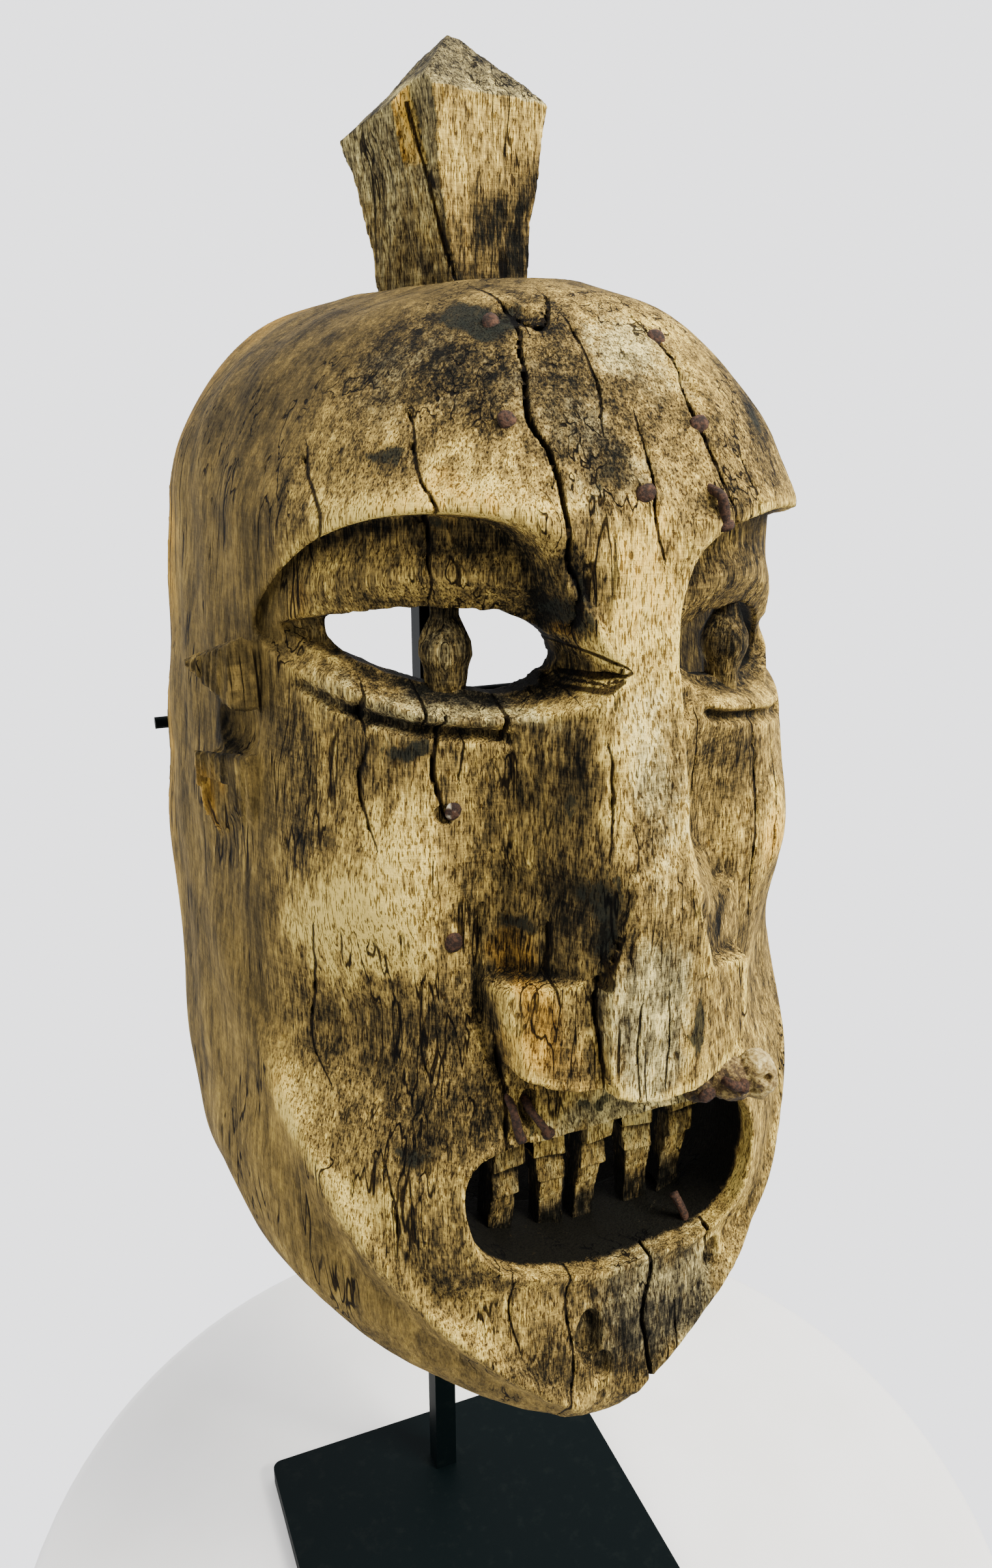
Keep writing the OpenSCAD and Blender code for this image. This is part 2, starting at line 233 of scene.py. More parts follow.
relief = np.zeros_like(X)
for height, across, place in (
    (7, A, (64, 364, 20, 22)),  # cheekbones
    (6, A, (44, 266, 22, 34)),  # muzzle round the mouth
    (2.5, X, (0, 222, 40, 22)),  # chin
    (-9, A, (64, 312, 19, 23)),  # cheek hollows
    (-4, A, (72, 470, 12, 16)),  # temples
    (-5, X, (-36, 352, 11, 30)),  # beside the nose
    (-4, X, (30, 372, 10, 30)),
    (-2.5, A, (48, 238, 14, 8)),  # under the mouth's corners
):
    relief += height * hump(across, Z, *place)
relief += 1.5 * ramp(6, 0, MOUTH_D) * ramp(-1, 1, MOUTH_D)  # worn rim of the lips
JAW = rounded([(99, 345), (91, 318), (84, 292), (72, 262), (56, 238), (36, 217), (10, 195)], closed=False)
jaw_d, _ = line_distance(A, Z, JAW)
relief += 3.4 * np.exp(-((jaw_d / 4.5) ** 2))  # ridge between the cheek and the side
jaw_side = ramp(-1, 9, A - line_at(JAW, Z, right=200))
relief -= 3.0 * jaw_side


def socket(inside, eye_d, floor_z, width):
    """A sharp drop under the brow, a bulging upper lid and a rim for the lower lid."""
    upper = ramp(floor_z - 6, floor_z + 10, Z)
    soft = ramp(0, 1, inside / width) * upper + ramp(0, 7, inside) * (1 - upper)
    depth = 12.5 * soft
    lid = 5.5 * np.exp(-(((eye_d - 8) / 6.5) ** 2)) * ramp(floor_z, floor_z + 6, Z)
    rim = 6.5 * ramp(12, 6, eye_d) * ramp(0.5, 4, eye_d) * ramp(floor_z + 4, floor_z - 6, Z)
    return depth - (lid + rim) * ramp(0, 4, inside)


relief -= socket(near_socket, NEAR_EYE_D, 421, 2.2 + 9 * ramp(-32, -16, X))
relief -= socket(far_socket, FAR_EYE_D, 415, 2.2)

# The carved corners run on past the holes
corner_d = outline([(-74, 426), (-66, 429.5), (-60, 430), (-58, 424), (-60, 419), (-68, 421)])
relief -= (6.5 + 0.8 * patchy(X, Z, 1.1, 8, 13)) * ramp(0.6, -1.6, corner_d)
inner_d = outline([(-18, 427), (-13, 424.5), (-7.5, 420), (-13, 416), (-19, 415)])
relief -= 7 * ramp(1.0, -2.5, inner_d)

# Grooves under the lower lids
groove, along = stroke([(-74, 414), (-66, 409), (-56, 406), (-46, 404.5), (-34, 404), (-25, 402)])
relief -= 3.4 * ramp(2.6, 0.3, groove) * ramp(0, 0.1, along) * ramp(1, 0.8, along)
groove, along = stroke([(22, 407), (30, 402.5), (42, 400), (54, 397), (68, 394)])
relief -= 3.0 * ramp(2.6, 0.3, groove) * ramp(0, 0.15, along)

# Nose: a flat facet down its front, a hewn wing on the near side, a ledge on the far one
BRIDGE = np.array([
    # z, height, left edge, right edge, run-out on the left, run-out on the right
    [305, 18, -11.5, 18, 24, 34], [342, 18, -13, 17.5, 24, 34], [352, 21, -11, 14.5, 26, 34],
    [360, 24, -8.8, 11.5, 27, 26], [368, 23.4, -6.5, 9, 27, 18], [380, 20.3, -7.5, 8, 25, 11],
    [393, 17.2, -8.3, 8, 23, 8], [404, 14.5, -9, 8, 21, 6.5], [420, 10.5, -9.5, 8.2, 16, 4],
    [432, 6.5, -9, 8.5, 12, 4], [441, 3.5, -8, 10, 12, 6], [452, 0.5, -6, 11, 14, 12], [462, 0, -5, 8, 14, 14],
])
high, left, right, run_l, run_r = (np.interp(Z, BRIDGE[:, 0], BRIDGE[:, k]) for k in range(1, 6))
front_plane = 18.3 + 0.10 * (Z - 308) + 0.02 * (X + 12)
front_plane = np.where(Z > 360, np.minimum(front_plane, high), front_plane)
arris = 10.0 + 2.5 * ramp(343, 309, Z)
right_plane = front_plane - 0.33 * np.maximum(X - arris, 0)
gap_l, gap_r = left - X, X - right
near_side = front_plane * (1 - ramp(0, 1, gap_l / run_l)) - 3.2 * ramp(0.1, 1.1, gap_l) * ramp(373, 362, Z)
wing_top = np.interp(X, [-36, -32, -24, -15, -10.7, -6], [336, 338.5, 340.5, 343.5, 349, 356])
wing = 15.6 - 0.0115 * np.minimum(X + 11, 0) ** 2 - 2.2 * ramp(314, 311, Z - 0.1 * np.abs(X + 20))
wing = wing * ramp(-0.6, 2.4, X + 36 - 3.2 * ramp(338, 316, Z))
hollowed = near_side - 3.4 * np.exp(-np.maximum(Z - wing_top, 0) / 11) * ramp(0, 4, gap_l)
on_wing = ramp(0.8, -0.8, Z - wing_top)
near_side = hollowed * (1 - on_wing) + wing * on_wing
slope_r = np.where(Z < 356, 1 - np.clip(gap_r / run_r, 0, 1), 1 - ramp(0, 1, gap_r / run_r))
far_side = front_plane * slope_r - 5 * ramp(0, 1.2, gap_r) * ramp(366, 352, Z)
ledge = ramp(0.8, -0.8, Z - 342 + 0.3 * (X - 20))
far_side = far_side * (1 - ledge) + right_plane * ledge * ramp(39, 36.5, X)
nose = np.where(X > np.where(Z < 342, arris, right), far_side, front_plane)
nose = np.where(X < left, near_side, nose)
foot = np.interp(
    X,
    [-38, -34, -31, -26, -17, -12, -11, -4, 3, 12.5, 20, 28, 34, 38],
    [320, 317, 314.5, 313, 312.4, 313, 311.5, 308.3, 307, 308.4, 309.6, 311, 313.5, 318],
)
foot = foot + 0.35 * patchy(X, X, 2.2, 2.2, 12)
relief += np.maximum(nose, 0) * ramp(-0.6, 0.9, Z - foot)
# Crease between the nose and the near cheek, and breaks in the facet's left edge
crease, _ = stroke([(-34, 356), (-36, 345), (-36, 322), (-33, 311)])
relief -= 1.6 * ramp(1.8, 0.2, crease)
relief -= 1.3 * hump(X, Z, -9, 352, 3.2, 5) + 0.9 * hump(X, Z, -1, 350, 1.6, 4)

# Ridge of the forehead just above each socket
for inside in (near_socket, far_socket):
    relief += 1.6 * np.exp(-((np.minimum(np.abs(inside + 3), 30) / 4) ** 2)) * ramp(440, 452, Z)

# The wood's slow waves, then knife and adze marks
relief += 0.9 * patchy(X, Z, 26, 34, 1) + 0.5 * patchy(X, Z, 9, 15, 2)
relief += 0.22 * patchy(X + 0.5 * Z, Z - 0.5 * X, 12, 3.2, 3) * ramp(500, 460, Z)
relief += 0.16 * patchy(X, Z, 1.6, 14, 4)

# Cracks: line, width, depth
CRACKS = [
    ([(-20, 507), (-19, 498), (-21, 492), (-22, 484), (-24, 476), (-22, 470), (-21, 458), (-20, 448),
      (-17, 440), (-16.5, 431)], 1.15, 7),
    ([(-19, 500), (-14, 497), (-10, 500), (-7, 505)], 0.8, 3),
    ([(-47, 478), (-48, 464), (-46, 454), (-46, 444), (-45, 436)], 0.6, 2.5),
    ([(-15, 417.5), (-11, 419), (-5.5, 420.5)], 0.9, 3),
    ([(-16, 415), (-11.5, 416.5), (-7.5, 418.5)], 0.7, 2),
    ([(-12.2, 312), (-13.2, 328), (-13.2, 342), (-9.8, 357)], 0.8, 2.5),
    ([(-18, 426), (-12, 424.5), (-6, 421.5)], 0.6, 2),
    ([(13, 500), (19, 490), (18, 480), (20, 470), (22, 458), (24, 448)], 1.0, 4),
    ([(1, 478), (2, 466), (0.5, 456), (3, 446)], 0.7, 3),
    ([(-44, 408), (-47, 398), (-46.5, 390), (-44, 382)], 0.9, 4), ([(-60, 414), (-60.5, 404)], 0.9, 3),
    ([(-30, 412), (-30.5, 403)], 0.9, 3), ([(-48, 414), (-48, 406)], 0.5, 2),
    ([(44, 403), (46, 390), (47.5, 375), (47, 355), (50, 338)], 0.9, 4),
    ([(56, 396), (58, 370), (57, 350)], 0.5, 2),
    ([(12, 244), (13.5, 236), (11, 224), (12, 210), (14, 196), (13, 184)], 1.3, 8),
    ([(-13, 246), (-15, 232), (-12, 214), (-14, 198), (-13, 186)], 0.7, 3),
    ([(-34, 322), (-33, 304), (-34, 292), (-33, 284)], 0.8, 4), ([(34, 250), (33, 240), (36, 228)], 0.9, 4),
    ([(-22, 356), (-23, 346), (-22, 336)], 0.7, 2), ([(-14, 352), (-12, 344), (-15, 338)], 0.5, 2),
    ([(3, 340), (4, 326), (3, 312)], 0.35, 1.2), ([(-4, 338), (-5, 322), (-4, 311)], 0.35, 1.2),
    ([(30, 470), (32, 456), (33, 448)], 0.5, 2), ([(-50, 336), (-51, 320), (-49, 304)], 0.35, 1.2),
]
HAIRLINES = [
    [(-74, 348), (-73, 330), (-74, 312), (-72, 300)], [(-60, 400), (-62, 386), (-60, 374)],
    [(-12, 404), (-11, 390), (-13, 376)], [(22, 404), (24, 388), (22, 370)],
    [(-30, 246), (-31, 232), (-29, 220)], [(-62, 282), (-60, 268), (-61, 254)],
    [(-66, 470), (-68, 456), (-67, 444)], [(-6, 500), (-5, 486), (-8, 474)],
    [(22, 222), (23, 208), (21, 196)], [(-40, 404), (-41, 392)],
]
CRACKS += [(line, 0.4, 1.5) for line in HAIRLINES]
UNCUT = -3.0  # half width where there is no crack
crack = np.full_like(X, 9.0)  # distance to the nearest crack's edge
crack_off = np.full_like(X, 9.0)  # distance to its line, negative on the left
crack_depth = np.zeros_like(X)
wander = 0.8 * patchy(X, Z, 9, 13, 7) + 0.3 * patchy(X, Z, 2.5, 4, 8)
for line, wide, deep in CRACKS:
    line = rounded(line, closed=False, steps=4)
    r, t = line_distance(X + wander, Z, line)
    offset = X + wander - line_at(line, Z)
    edge = r - wide / 2 * (0.30 + 0.70 * np.sin(np.pi * np.clip(t, 0.03, 0.97)))
    closer = edge < crack
    crack_depth = np.where(closer, deep, crack_depth)
    crack_off = np.where(closer, np.where(offset < 0, -r, r), crack_off)
    crack = np.minimum(crack, edge)
crack_half = np.where(np.abs(crack_off) < 3, np.abs(crack_off) - crack, UNCUT)

# Chips and sockets broken out: place, radii, depth
for cx, cz, rx, rz, deep in [
    (-7, 219, 5, 11, 4.5), (-2, 208, 4, 7, 2.5), (-18, 500, 6, 3, 2), (36, 232, 4, 7, 3),
    (-45, 383, 3, 3, 2.0), (24, 449, 4, 3, 2.5), (-27, 302, 3, 6, 3.5), (20, 484, 3.5, 4, 1.5),
]:
    relief -= deep * ramp(0.35, 0.75, hump(X + wander * 1.5, Z, cx, cz, rx, rz))

# The eye slots have ragged edges, most of all in the near eye's inner corner
ragged = 0.5 * patchy(X, Z, 2.2, 2.2, 9) + 1.4 * patchy(X, Z, 3, 3, 10) * hump(X, Z, -15, 418, 6, 6)
eyes_d = np.minimum(NEAR_EYE_D, FAR_EYE_D) + ragged
relief, crack, crack_depth, crack_off, crack_half, eyes_d, mouth_d, near_socket, far_socket, jaw_side = (
    plane.astype(np.float32)
    for plane in (relief, crack, crack_depth, crack_off.clip(-4, 4), crack_half, eyes_d, MOUTH_D,
                  near_socket, far_socket, jaw_side)
)

# ---- the mask as one solid

SPLINTERS = np.random.default_rng(77).uniform(-1, 1, 48)
SIDE_WALL, FRONT_WALL, LIP_WALL = 15.0, 17, 34
CEILING, LIP_BOTTOM, LIP_FRONT = 491, 480, 23.35
FLOOR, FLOOR_RISE, FLOOR_Y = 262, 0.28, 8


def wall_behind(z):
    return FRONT_WALL + (LIP_WALL - FRONT_WALL) * (1 - ramp(297, 357, z))


def largest(*fields):
    """What all the shapes have in common."""
    out = fields[0]
    for f in fields[1:]:
        out = np.maximum(out, f)
    return out


def ear_stubs(x, y, z, wall):
    """What is left of the near ear, joined to the side wall: two broken stubs and a hollow."""
    along, out = 0.9 * (y + 36) - 0.43 * (x + 90), -0.9 * (x + 90) - 0.43 * (y + 36)
    plate = SPLINTERS[np.floor(out / 1.6).astype(int) % 40]
    layer = SPLINTERS[np.floor((along + 0.2 * z) / 1.3).astype(int) % 40 + 7]
    root = -wall - 6
    upper = largest(
        z - 418.5 + 0.36 * (along + 6) - 1.5 * plate, 402 - z + 0.42 * (along + 14) + 1.0 * layer,
        -47.5 - y, y + 26, out - 3.0 - 0.5 * layer, root,
    )
    proud = np.interp(z, [357, 364, 372, 390], [-5.5, -2.6, -0.8, 0.8])
    notch = largest(np.abs(along - 4) - 3.2 - 0.3 * (z - 366), np.abs(z - 372) - 7, -2.2 - out)
    lower = largest(
        z - 387 + 0.15 * along - 1.2 * plate, 357 - z - 1.2 * layer,
        -48 - y, y + 24, out - proud - 0.5 * layer, -notch, root,
    )
    bowl = np.sqrt(((out + 3) / 6.5) ** 2 + ((along + 1) / 13) ** 2 + ((z - 396) / 9.5) ** 2) - 1
    return np.minimum(np.maximum(wall, -bowl * 6), np.minimum(upper, lower))


def mask_field(x, y, z):
    """Distance to the mask's surface, negative in the wood."""
    side, back, facing = block_form(x, y, z)
    d = side - look_up(relief, x, z) * facing * ramp(12, -24, y)
    # the side walls are gently hewn
    hewn = 0.8 * np.sin(0.11 * z + 0.07 * y + 1.2 * np.sin(0.05 * z)) + 0.5 * np.sin(0.23 * y - 0.09 * z)
    d = d - hewn * (1 - facing) * 0.6
    near = (x < -70) & (z > 335) & (z < 430)
    if near.any():
        d[near] = ear_stubs(x[near], y[near], z[near], d[near])
    # flat back edge, crown and chin
    d = largest(d, (y - back) * 0.93, z - (CROWN - 0.5 * ramp(20, 45, np.abs(x))), CHIN - z)
    c = look_up(crack, x, z)
    d = np.maximum(d, np.minimum(-c, d + look_up(crack_depth, x, z)))
    # hollow behind, with a lip at the top that hangs on the hook
    hollow, _, _ = block_form(x, y, z, SIDE_WALL, wall_behind(z))
    floor = FLOOR - FLOOR_RISE * (FLOOR_Y - y)
    lip = np.maximum(LIP_FRONT - y, LIP_BOTTOM - z)
    d = np.maximum(d, -largest(hollow, floor - z, z - CEILING, -lip))
    # eye slots and mouth
    d = np.maximum(d, -np.maximum(look_up(eyes_d, x, z), y + 10))
    return np.maximum(d, -np.maximum(look_up(mouth_d, x, z) - 0.5, y + 30))


# ---- turning a field into a mesh


BLOCK = 8  # grid points along each side of a block
CORNERS = [(a, b, c) for a in (0, 1) for b in (0, 1) for c in (0, 1)]


def field_mesh(field, lo, hi, step):
    """Surface mesh of field = 0: only blocks near the surface are worked out."""
    lo, hi = np.array(lo, float), np.array(hi, float)
    nb = np.ceil((hi - lo) / (step * BLOCK)).astype(int)
    bi = np.stack(np.meshgrid(*[np.arange(n) for n in nb], indexing="ij"), -1).reshape(-1, 3)
    centre = lo + (bi + 0.5) * BLOCK * step
    coarse = field(*centre.T.copy())
    values = np.where(coarse < 0, -9.0, 9.0).astype(np.float32).reshape(nb)
    for axis in range(3):
        values = values.repeat(BLOCK, axis)
    offset = np.stack(np.meshgrid(*[np.arange(BLOCK)] * 3, indexing="ij"), -1).reshape(-1, 3)
    chosen = bi[np.abs(coarse) < BLOCK * step * 1.9]
    for part in np.array_split(np.arange(len(chosen)), max(1, len(chosen) // 800)):
        ijk = (chosen[part][:, None, :] * BLOCK + offset[None]).reshape(-1, 3)
        p = lo + ijk * step
        values[tuple(ijk.T)] = field(p[:, 0], p[:, 1], p[:, 2])
    # one point in each cell that the surface crosses, at the mean of its edges' crossings
    solid = values < 0
    n0, n1, n2 = solid.shape
    count = np.zeros((n0 - 1, n1 - 1, n2 - 1), np.uint8)
    for a, b, c in CORNERS:
        count += solid[a : n0 - 1 + a, b : n1 - 1 + b, c : n2 - 1 + c]
    cells = np.argwhere((count > 0) & (count < 8))
    index = np.full(count.shape, -1, np.int32)
    index[tuple(cells.T)] = np.arange(len(cells))
    v = {k: values[tuple((cells + k).T)] for k in CORNERS}
    total = np.zeros((len(cells), 3))
    hits = np.zeros(len(cells))
    for axis in range(3):
        for k in CORNERS:
            if k[axis]:
                continue
            p, q = v[k], v[tuple(1 if i == axis else k[i] for i in range(3))]
            cross = (p < 0) != (q < 0)
            place = np.zeros((len(cells), 3)) + np.array(k)
            place[:, axis] = np.where(cross, p / np.where(cross, p - q, 1), 0)
            total += place * cross[:, None]
            hits += cross
    # one quad round each grid edge that the surface crosses
    faces = []
    for axis in range(3):
        on = [int(i == axis) for i in range(3)]
        a = solid[: n0 - on[0], : n1 - on[1], : n2 - on[2]]
        edge = np.argwhere(a != solid[on[0] :, on[1] :, on[2] :])
        u, w = [i for i in range(3) if i != axis]
        keep = (edge[:, u] > 0) & (edge[:, w] > 0)
        keep &= (edge[:, u] < count.shape[u]) & (edge[:, w] < count.shape[w])
        edge = edge[keep]
        outward = a[tuple(edge.T)]
        quad = []
        for du, dw in ((-1, -1), (0, -1), (0, 0), (-1, 0)):
            cell = edge.copy()
            cell[:, u] += du
            cell[:, w] += dw
            quad.append(index[tuple(cell.T)])
        quad = np.stack(quad, 1)
        flip = outward if axis != 1 else ~outward
        quad[~flip] = quad[~flip][:, ::-1]
        faces.append(quad)
    return lo + (cells + total / hits[:, None]) * step, np.concatenate(faces)


def settle(field, verts, step):
    """Pulls each point onto the surface and returns its outward direction too."""
    eps = 0.35 * step
    for _ in range(2):
        d = field(*verts.T.copy())
        g = np.stack([field(*(verts + shift).T.copy()) - d for shift in np.eye(3) * eps], 1) / eps
        size = np.maximum(np.linalg.norm(g, axis=1), 0.3)
        move = -np.clip(d, -0.5 * step, 0.5 * step) / size**2
        verts = verts + g * np.clip(move, -0.5 * step, 0.5 * step)[:, None] * 0.8
    return verts, g / size[:, None]


def make_object(name, verts, faces):
    """A smooth-shaded object from points in mm."""
    mesh = bpy.data.meshes.new(name)
    faces = np.asarray(faces)
    mesh.vertices.add(len(verts))
    mesh.vertices.foreach_set("co", (np.asarray(verts) * MM).astype(np.float32).ravel())
    mesh.loops.add(faces.size)
    mesh.loops.foreach_set("vertex_index", faces.ravel().astype(np.int32))
    mesh.polygons.add(len(faces))
    mesh.polygons.foreach_set("loop_start", np.arange(0, faces.size, faces.shape[1], dtype=np.int32))
    mesh.update(calc_edges=True)
    mesh.validate()
    mesh.polygons.foreach_set("use_smooth", np.full(len(mesh.polygons), True))
    ob = bpy.data.objects.new(name, mesh)
    bpy.context.scene.collection.objects.link(ob)
    return ob


def give(ob, **values):
    """Stores a number at every point of a piece, for its material."""
    for name, v in values.items():
        layer = ob.data.attributes.new(name, "FLOAT", "POINT")
        layer.data.foreach_set("value", np.asarray(v, np.float32))


# ---- the wood's stains on the front, with a little painted shade among the dark ones: place, radii, strength

PALE = [
    (-45, 459, 22, 3.5, 0.7), (-60, 456, 9, 5, 0.6), (-45, 466, 18, 7, 0.35), (-28, 461, 10, 6, 0.4),
    (6, 492, 10, 9, 0.7), (18, 500, 8, 5, 0.6), (-1, 449, 8, 16, 1.0), (0, 428, 9, 16, 1.0),
    (-3, 404, 8, 14, 0.7), (-9, 388, 6, 10, 0.6), (2, 380, 7, 12, 0.5), (-60, 364, 12, 20, 0.9),
    (-51, 379, 9, 10, 0.6),
    (-67, 345, 9, 16, 0.8), (-52, 350, 12, 16, 0.6), (-76, 350, 6, 14, 0.8), (-84, 318, 6, 20, 0.9),
    (-82, 286, 7, 18, 0.9), (-68, 266, 9, 10, 0.8), (-58, 252, 8, 8, 0.4), (-37, 227, 16, 8, 0.7),
    (-20, 212, 12, 10, 0.25), (-8, 198, 10, 7, 0.8), (-30, 240, 10, 6, 0.4),
    (-1, 331, 9, 20, 0.35), (11, 326, 1.3, 16, 0.8), (-12, 330, 1.2, 16, 0.7), (-26, 320, 6, 7, 0.7),
    (0, 299, 34, 7, 0.7), (-70, 262, 9, 16, 0.5), (60, 362, 9, 13, 0.9), (16, 228, 9, 9, 0.6),
    (38, 240, 6, 12, 0.6), (44, 262, 4, 14, 0.6), (34, 296, 8, 5, 0.5), (30, 452, 14, 4, 0.5),
]
DARK = [
    (-38, 488, 22, 12, 0.7), (-26, 502, 14, 5, 0.9), (-46, 496, 12, 7, 0.5), (-10, 481, 12, 13, 0.7),
    (-8, 463, 7, 8, 0.8), (-55, 468, 7, 4, 0.6), (-43, 449, 26, 4, 0.35), (-18, 438, 7, 8, 0.9),
    (-20, 405, 5, 12, 0.5), (-19, 389, 5, 14, 0.4), (-52, 401, 9, 5, 0.8), (-60, 392, 6, 6, 0.4),
    (-17, 367, 8, 12, 0.5), (-23, 352, 9, 9, 0.5), (-13, 358, 6, 12, 0.5), (-62, 315, 15, 13, 0.55),
    (-46, 328, 10, 10, 0.6), (-49, 298, 10, 9, 0.6), (-53, 287, 7, 5, 0.7), (-39, 306, 7, 12, 0.6),
    (-50, 252, 9, 8, 0.6), (27, 218, 10, 10, 0.5), (41, 472, 7, 16, 0.6), (48, 480, 8, 12, 0.5),
    (40, 442, 24, 6, 0.5), (0, 212, 34, 22, 0.55), (-3, 386, 9, 14, 0.45), (40, 390, 8, 14, 0.6),
    (6, 480, 5, 8, 0.5), (22, 478, 4, 6, 0.5), (22, 458, 5, 5, 0.6), (1, 460, 5, 5, 0.5),
    # (27, 348) is painted shade in the scoop on the far wing of the nose
    (27, 348, 9, 5, 0.9), (-45, 409, 22, 4, 0.5), (-66, 424, 5, 2.5, 0.9), (45, 404, 22, 3, 0.4),
    (-53, 414, 11, 2.2, 0.45), (-32, 407, 10, 2.0, 0.35), (-30, 440, 12, 8, 0.3), (-22, 316, 9, 12, 0.35),
    (14, 222, 18, 16, 0.3), (-26, 217, 15, 10, 0.4), (-84, 390, 14, 40, 0.5), (-80, 440, 10, 30, 0.4),
]
BLUE = [
    (-26, 502, 11, 4, 0.9), (-8, 463, 4, 5, 0.6), (-15, 367, 4, 9, 0.66), (-11.5, 354, 3, 8, 0.66),
    (-28, 354, 5, 4.5, 0.72), (-19, 392, 2.5, 12, 0.5), (-15, 436, 4, 9, 0.7), (-53, 287, 5, 4, 0.7),
    (-52, 401, 7, 4, 0.8), (-30, 300, 5, 3, 0.6), (41, 478, 4, 12, 0.6), (15.5, 328, 2.4, 15, 0.66),
    (-46, 455, 6, 2, 0.5), (-56, 470, 4, 3, 0.7), (-8, 299, 8, 3, 0.7),
]
OCHRE = [
    (-26, 330, 8, 12, 0.65), (-22, 316, 8, 14, 0.4), (-29, 345, 5, 10, 0.7), (-84, 320, 5, 26, 0.5),
    (-16, 430, 2, 2, 1.0), (0, 440, 10, 20, 0.35), (-45, 459, 20, 4, 0.4), (60, 360, 8, 12, 0.5),
    (-72, 430, 4, 8, 0.5),
]
GREY = [
    (0, 335, 11, 26, 1.0), (0, 395, 9, 24, 0.5), (6, 492, 12, 10, 0.6), (0, 297, 28, 6, 0.8),
    (18, 224, 23, 22, 0.85), (-12, 470, 14, 14, 0.4), (-38, 488, 24, 10, 0.35), (-45, 411, 26, 6, 0.6),
]


def blurred(plane, half):
    """Box blur, twice, by sums."""
    for _ in range(2):
        for axis in (0, 1):
            pad = [(0, 0), (0, 0)]
            pad[axis] = (half + 1, half)
            c = np.cumsum(np.pad(plane, pad, "edge").astype(np.float64), axis)
            n = plane.shape[axis]
            hi = np.take(c, np.arange(2 * half + 1, 2 * half + 1 + n), axis)
            lo = np.take(c, np.arange(n), axis)
            plane = (hi - lo) / (2 * half + 1)
    return plane


STEP = 1.0
verts, faces = field_mesh(mask_field, (-106, -138, 172), (106, 44, 518), STEP)
verts, _ = settle(mask_field, verts, STEP)
mask = make_object("mask_wood", verts, faces)
vx, vy, vz = verts.T
side_d, back_y, facing = block_form(vx, vy, vz)
deep = np.clip(side_d - look_up(relief, vx, vz) * facing, -FAR_OFF, 5)
inside = ramp(-4.5, -9, deep)
on_side = np.maximum(ramp(-66, -46, vy), ramp(0.05, 0.45, look_up(jaw_side, vx, vz)))
wx = vx + 3.2 * patchy(vx, vz, 11, 15, 41) + 1.5 * patchy(vx, vz, 3.5, 5, 42)
wz = vz + 4.5 * patchy(vx, vz, 11, 15, 43) + 2.2 * patchy(vx, vz, 3.5, 5, 44)


def blotches(places):
    """The sum of ragged blotches at the mask's points: stains, and painted shade in the scoop of the nose."""
    return sum(
        amount * np.exp(-((((wx - cx) / rx) ** 2 + ((wz - cz) / rz) ** 2) ** 1.5))
        for cx, cz, rx, rz, amount in places
    )


tone = 0.56 + 0.36 * blotches(PALE) - 0.40 * np.minimum(blotches(DARK), 1)
side_tone = 0.45 + 0.22 * ramp(10, 34, vy) + 0.1 * ramp(330, 260, vz) - 0.1 * ramp(440, 480, vz)
tone = tone * (1 - on_side) + side_tone * on_side
# High-pass of the relief: lightens proud edges as wear and darkens hollows as painted shade
fine = (relief - blurred(relief, 5)).astype(np.float32)
ridge = np.clip(look_up(fine, vx, vz), -2, 2) * (1 - on_side)
# Painted shade: a little darker inside the eye sockets
in_socket = np.maximum(*(ramp(0, 5, look_up(plane, vx, vz)) for plane in (near_socket, far_socket)))
tone = tone - 0.04 * in_socket * (1 - on_side)
# Painted shade: the hollow darkens towards the mouth, and so do the walls of the eye slots, the far ones most
carved = 0.40 - 0.95 * ramp(372, 284, vz) * ramp(12, 34, back_y - vy)
slot_wall = ramp(2.5, 0.8, np.abs(look_up(eyes_d, vx, vz))) * ramp(-1.0, -3.0, deep)
tone = tone - slot_wall * np.where(vx > 0, 0.62, 0.30)
carved = carved - slot_wall * np.where(vx > 0, 0.45, 0.15)
split_half = np.where((vy > -30) | (inside > 0.5), UNCUT, look_up(crack_half, vx, vz))
split = look_up(crack_off, vx, vz)
# Splits along the near rim, on the side of the mask: line in y and z, width
on_rim = np.where((vx < -55) & (vy > -28) & (inside < 0.5))[0]
ry, rz = vy[on_rim], vz[on_rim]
for line, wide in [
    ([(34, 484), (33, 460), (34, 436), (33, 418)], 0.7), ([(27, 488), (25, 462), (27, 440), (26, 428)], 0.8),
    ([(18, 474), (17, 452), (18, 440)], 0.5), ([(30, 400), (29, 372), (30, 350)], 0.4),
    ([(-8, 396), (-10, 380), (-9, 366)], 0.6), ([(-16, 362), (-15, 348), (-18, 340)], 0.5),
]:
    line = rounded(line, closed=False)
    r, t = line_distance(ry, rz, line)
    close = (r < 3) & (t > 0) & (t < 1)
    split[on_rim[close]] = (ry + 0.5 * patchy(ry, rz, 4, 7, 14) - line_at(line, rz))[close]
    split_half[on_rim[close]] = wide / 2 * np.sin(np.pi * t[close])
